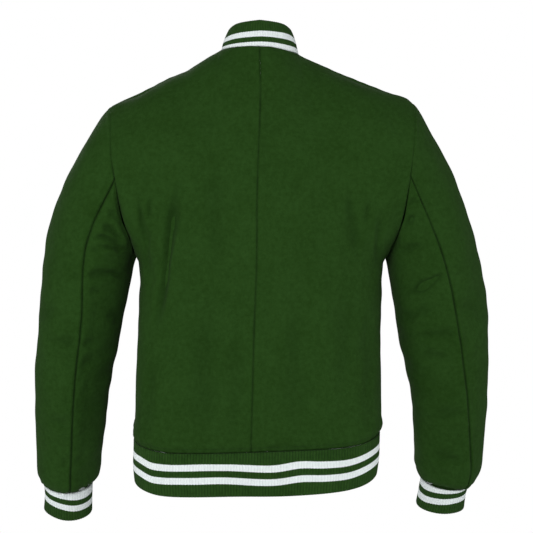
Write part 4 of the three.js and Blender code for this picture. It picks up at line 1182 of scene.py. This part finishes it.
def nap_group():
    """Felted wool fibres: a fine uneven nap, pressed paths and flecks, from a place in metres."""
    tree, n, given, out = group(
        "wool nap",
        [("Place", "Vector"), ("Base", "Color"), ("Light", "Color"), ("Fibre", "Float", WOOL_FIBRE)],
        [("Color", "Color"), ("Height", "Float"), ("Roughness", "Float")],
    )
    place = given["Place"]
    fibre = n.noise(place, given["Fibre"], 3.0, 0.65)
    stretched = n.add("ShaderNodeMapping", {"Scale": (1.0, 1.0, 0.25), "Vector": place}).outputs[0]
    strand = n.noise(stretched, n.math("MULTIPLY", given["Fibre"], 2.2), 2.0, 0.6)
    clump = n.noise(place, 160.0, 3.0, 0.55)
    cloud = n.noise(place, 22.0, 3.0, 0.5)
    fine = n.math("ADD", n.math("MULTIPLY", fibre, 0.6), n.math("MULTIPLY", strand, 0.4))
    tone = n.math("ADD", n.math("MULTIPLY", fine, 0.55), n.math("MULTIPLY", clump, 0.3))
    tone = n.math("ADD", tone, n.math("MULTIPLY", cloud, 0.15))
    n.set(out["Color"], n.mix(n.ramp(tone, 0.36, 0.64), given["Base"], given["Light"]))
    n.set(out["Height"], n.math("ADD", fine, n.math("MULTIPLY", clump, 0.7)))
    n.set(out["Roughness"], n.math("ADD", 0.86, n.math("MULTIPLY", clump, 0.12)))
    return tree


def stitch_group():
    """Rows of knit loops that follow the ribs: a place in ribs across and millimetres up."""
    tree, n, given, out = group(
        "knit loops",
        [("Across", "Float"), ("Up", "Float"), ("Course", "Float", COURSE)],
        [("Height", "Float"), ("Slant", "Float")],
    )
    wale = n.math("FRACT", n.math("MULTIPLY", given["Across"], 2.0))
    off = n.math("ABSOLUTE", n.math("SUBTRACT", wale, 0.5))
    slant = n.math("MULTIPLY", off, 1.4)
    row = n.math("SUBTRACT", n.math("DIVIDE", given["Up"], given["Course"]), slant)
    loop = n.math("SINE", n.math("MULTIPLY", row, math.tau))
    leg = n.math("SINE", n.math("MULTIPLY", wale, math.pi))
    n.set(out["Height"], n.math("MULTIPLY", n.math("ADD", n.math("MULTIPLY", loop, 0.5), 0.5), leg))
    n.set(out["Slant"], off)
    return tree


NAP = nap_group()
LOOPS = stitch_group()


def nap_node(n, place, dark, light, fibre):
    inputs = {"Place": place, "Base": dark, "Light": light, "Fibre": fibre}
    node = n.add("ShaderNodeGroup", node_tree=NAP)
    for key, value in inputs.items():
        n.set(node.inputs[key], value)
    return node


def new_material(name):
    material = bpy.data.materials.new(name)
    material.use_nodes = True
    material.node_tree.nodes.clear()
    nodes = Nodes(material.node_tree)
    shader = nodes.add("ShaderNodeBsdfPrincipled")
    output = nodes.add("ShaderNodeOutputMaterial")
    nodes.set(output.inputs["Surface"], shader.outputs[0])
    return material, nodes, shader


WOOL_DARK = (0.011, 0.036, 0.004, 1)
WOOL_LIGHT = (0.019, 0.056, 0.0095, 1)
KNIT_GREEN_DARK = (0.012, 0.042, 0.005, 1)
KNIT_GREEN = (0.024, 0.068, 0.012, 1)
KNIT_WHITE_DARK = (0.74, 0.8, 0.8, 1)
KNIT_WHITE = (0.83, 0.89, 0.89, 1)


def wool_material():
    material, n, shader = new_material("melton wool")
    place = n.add("ShaderNodeTexCoord").outputs["Object"]
    nap = nap_node(n, place, WOOL_DARK, WOOL_LIGHT, WOOL_FIBRE)
    # Painted shade: the colour darkens towards SEAM_SHADE along seams and in crease troughs
    groove_and_painted_shade = n.add("ShaderNodeAttribute", attribute_name="groove_and_painted_shade").outputs["Fac"]
    color = n.mix(n.math("MULTIPLY", groove_and_painted_shade, 0.8), nap.outputs["Color"], SEAM_SHADE)
    n.set(shader.inputs["Base Color"], color)
    n.set(shader.inputs["Roughness"], nap.outputs["Roughness"])
    bump = n.add("ShaderNodeBump", {"Strength": 0.55, "Distance": 0.0007})
    n.set(bump.inputs["Height"], nap.outputs["Height"])
    n.set(shader.inputs["Normal"], bump.outputs[0])
    shader.inputs["Specular IOR Level"].default_value = 0.05
    shader.inputs["Sheen Weight"].default_value = 0.03
    shader.inputs["Sheen Roughness"].default_value = 0.5
    shader.inputs["Sheen Tint"].default_value = (0.55, 0.75, 0.45, 1)
    return material


def knit_material(name, stripes):
    """stripes are (low, high) heights in millimetres that are white."""
    material, n, shader = new_material(name)
    uv = n.add("ShaderNodeUVMap", uv_map="cloth").outputs[0]
    split = n.add("ShaderNodeSeparateXYZ")
    n.set(split.inputs[0], uv)
    across, up = split.outputs[0], split.outputs[1]
    loops = n.add("ShaderNodeGroup", node_tree=LOOPS)
    n.set(loops.inputs["Across"], across)
    n.set(loops.inputs["Up"], up)
    place = n.add("ShaderNodeTexCoord").outputs["Object"]
    nap = nap_node(n, place, KNIT_GREEN_DARK, KNIT_GREEN, KNIT_FIBRE)
    pale = nap_node(n, place, KNIT_WHITE_DARK, KNIT_WHITE, KNIT_FIBRE)
    drift = n.math("MULTIPLY", n.math("SUBTRACT", n.noise(place, 14.0, 1.0), 0.5), 2.4)
    edge = n.math("MULTIPLY", loops.outputs["Slant"], 0.9)
    height = n.math("ADD", n.math("ADD", up, drift), edge)
    white = 0.0
    for low, high in stripes:
        above = n.ramp(height, low - STRIPE_EDGE, low + STRIPE_EDGE)
        below = n.ramp(height, high + STRIPE_EDGE, high - STRIPE_EDGE)
        inside = n.math("MULTIPLY", above, below)
        white = n.math("ADD", inside, white)
    color = n.mix(white, nap.outputs["Color"], pale.outputs["Color"])
    # Painted shade: the colour darkens in the rib valleys, less on the white stripes, and on the low parts of
    # each loop
    painted_valley_shade = n.add("ShaderNodeAttribute", attribute_name="painted_valley_shade").outputs["Fac"]
    depth = n.math("MULTIPLY", painted_valley_shade, n.math("MULTIPLY_ADD", white, -0.3, 0.4))
    shade = n.math("ADD", depth, n.math("MULTIPLY", loops.outputs["Height"], -0.08))
    color = n.mix(n.math("MAXIMUM", shade, 0.0), color, VALLEY_SHADE)
    n.set(shader.inputs["Base Color"], color)
    n.set(shader.inputs["Roughness"], nap.outputs["Roughness"])
    rise = n.math("ADD", loops.outputs["Height"], n.math("MULTIPLY", nap.outputs["Height"], 0.3))
    bump = n.add("ShaderNodeBump", {"Strength": 0.6, "Distance": 0.0005})
    n.set(bump.inputs["Height"], rise)
    n.set(shader.inputs["Normal"], bump.outputs[0])
    shader.inputs["Specular IOR Level"].default_value = 0.06
    shader.inputs["Sheen Weight"].default_value = 0.03
    shader.inputs["Sheen Roughness"].default_value = 0.5
    return material


def snap_material():
    material, n, shader = new_material("snap enamel")
    place = n.add("ShaderNodeTexCoord").outputs["Object"]
    scuff = n.noise(place, 900.0, 4.0, 0.6)
    color = n.mix(n.ramp(scuff, 0.35, 0.75), (0.78, 0.79, 0.76, 1), (0.7, 0.71, 0.68, 1))
    n.set(shader.inputs["Base Color"], color)
    n.set(shader.inputs["Roughness"], n.math("ADD", 0.24, n.math("MULTIPLY", scuff, 0.18)))
    shader.inputs["Coat Weight"].default_value = 0.3
    return material


def thread_material():
    material, n, shader = new_material("green thread")
    place = n.add("ShaderNodeTexCoord").outputs["Object"]
    shade = n.noise(place, 1800.0, 2.0)
    n.set(shader.inputs["Base Color"], n.mix(shade, (0.006, 0.022, 0.003, 1), (0.014, 0.042, 0.007, 1)))
    shader.inputs["Roughness"].default_value = 0.6
    shader.inputs["Specular IOR Level"].default_value = 0.1
    return material


def floor_material():
    material, n, shader = new_material("pale floor")
    shader.inputs["Base Color"].default_value = (0.9, 0.9, 0.9, 1)
    shader.inputs["Roughness"].default_value = 0.9
    return material


def dress():
    wool = wool_material()
    rows = {"hem": [], "collar": [], "front": []}
    for side, label in ((1, "left"), (-1, "right")):
        for face in ("back", "front"):
            panel, kept = body_panel(face, side)
            wool_piece(f"{face}_{label}", panel, kept, wool)
            for name, row in panel.rows.items():
                rows[name].append(row)
        for part in ("top", "under"):
            panel, kept = sleeve_panel(part, side)
            wool_piece(f"sleeve_{part}_{label}", panel, kept, wool)
        knit = knit_material(f"cuff knit {label}", CUFF_STRIPES)
        piece, flat = cuff(side, label)
        knit_piece(piece, f"cuff_{label}", flat, knit)
    piece, flat = hem_band()
    knit_piece(piece, "hem_band", flat, knit_material("hem knit", HEM_STRIPES))
    piece, flat = collar()
    knit_piece(piece, "collar", flat, knit_material("collar knit", COLLAR_STRIPES))
    tree, thread = stitch_tree(), thread_material()
    for name, lines in rows.items():
        stitches(f"{name}_stitches", lines, tree, thread)
    enamel = snap_material()
    for node in sorted(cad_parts):
        if node.startswith("snap_"):
            snap(node, enamel)


# The studio: camera straight behind, level and 2 m away
CAMERA_PLACE = (-0.0099, 2.0, -0.3276)
CAMERA_LENS = 88.9
FLOOR_Z = -1.3
AMBIENT = 0.12
FLOOR_RADIUS = 2.2
FLOOR_STEPS = 96
LAMP_AIM = (0, 0, -0.33)
LAMPS = (  # name, place, power and size
    ("behind", (0.5, 2.6, 0.5), 58, 1.4),
    ("left", (2.4, 0.9, -0.2), 13, 1.2),
    ("right", (-2.5, 0.6, 0.0), 22, 1.2),
    ("front", (0.8, -2.3, 0.9), 34, 1.8),
)


def studio():
    scene = bpy.context.scene
    data = bpy.data.cameras.new("camera")
    data.lens = CAMERA_LENS
    data.sensor_width = 36
    camera = add_object("camera", data)
    camera.location = CAMERA_PLACE
    camera.rotation_euler = (math.pi / 2, 0, math.pi)
    scene.camera = camera
    scene.view_settings.view_transform = "Standard"
    world = bpy.data.worlds.new("studio")
    world.use_nodes = True
    n = Nodes(world.node_tree)
    seen = n.add("ShaderNodeLightPath").outputs["Is Camera Ray"]
    background = world.node_tree.nodes["Background"]
    background.inputs["Color"].default_value = (1, 1, 1, 1)
    n.set(background.inputs["Strength"], n.math("MULTIPLY_ADD", seen, 1 - AMBIENT, AMBIENT))
    scene.world = world
    for name, place, power, size in LAMPS:
        light = bpy.data.lights.new(name, "AREA")
        light.energy = power
        light.size = size
        lamp = add_object(name, light)
        lamp.location = place
        aim = np.array(LAMP_AIM) - np.array(place)
        lamp.rotation_euler = Vector(aim).to_track_quat("-Z", "Y").to_euler()
    angle = np.arange(FLOOR_STEPS) * math.tau / FLOOR_STEPS
    ring = np.stack([np.cos(angle), np.sin(angle), 0 * angle], axis=1) * FLOOR_RADIUS / MM
    ring[:, 2] = FLOOR_Z / MM
    floor = new_object("floor", ring, [tuple(range(FLOOR_STEPS))])
    floor.data.materials.append(floor_material())


studio()
dress()
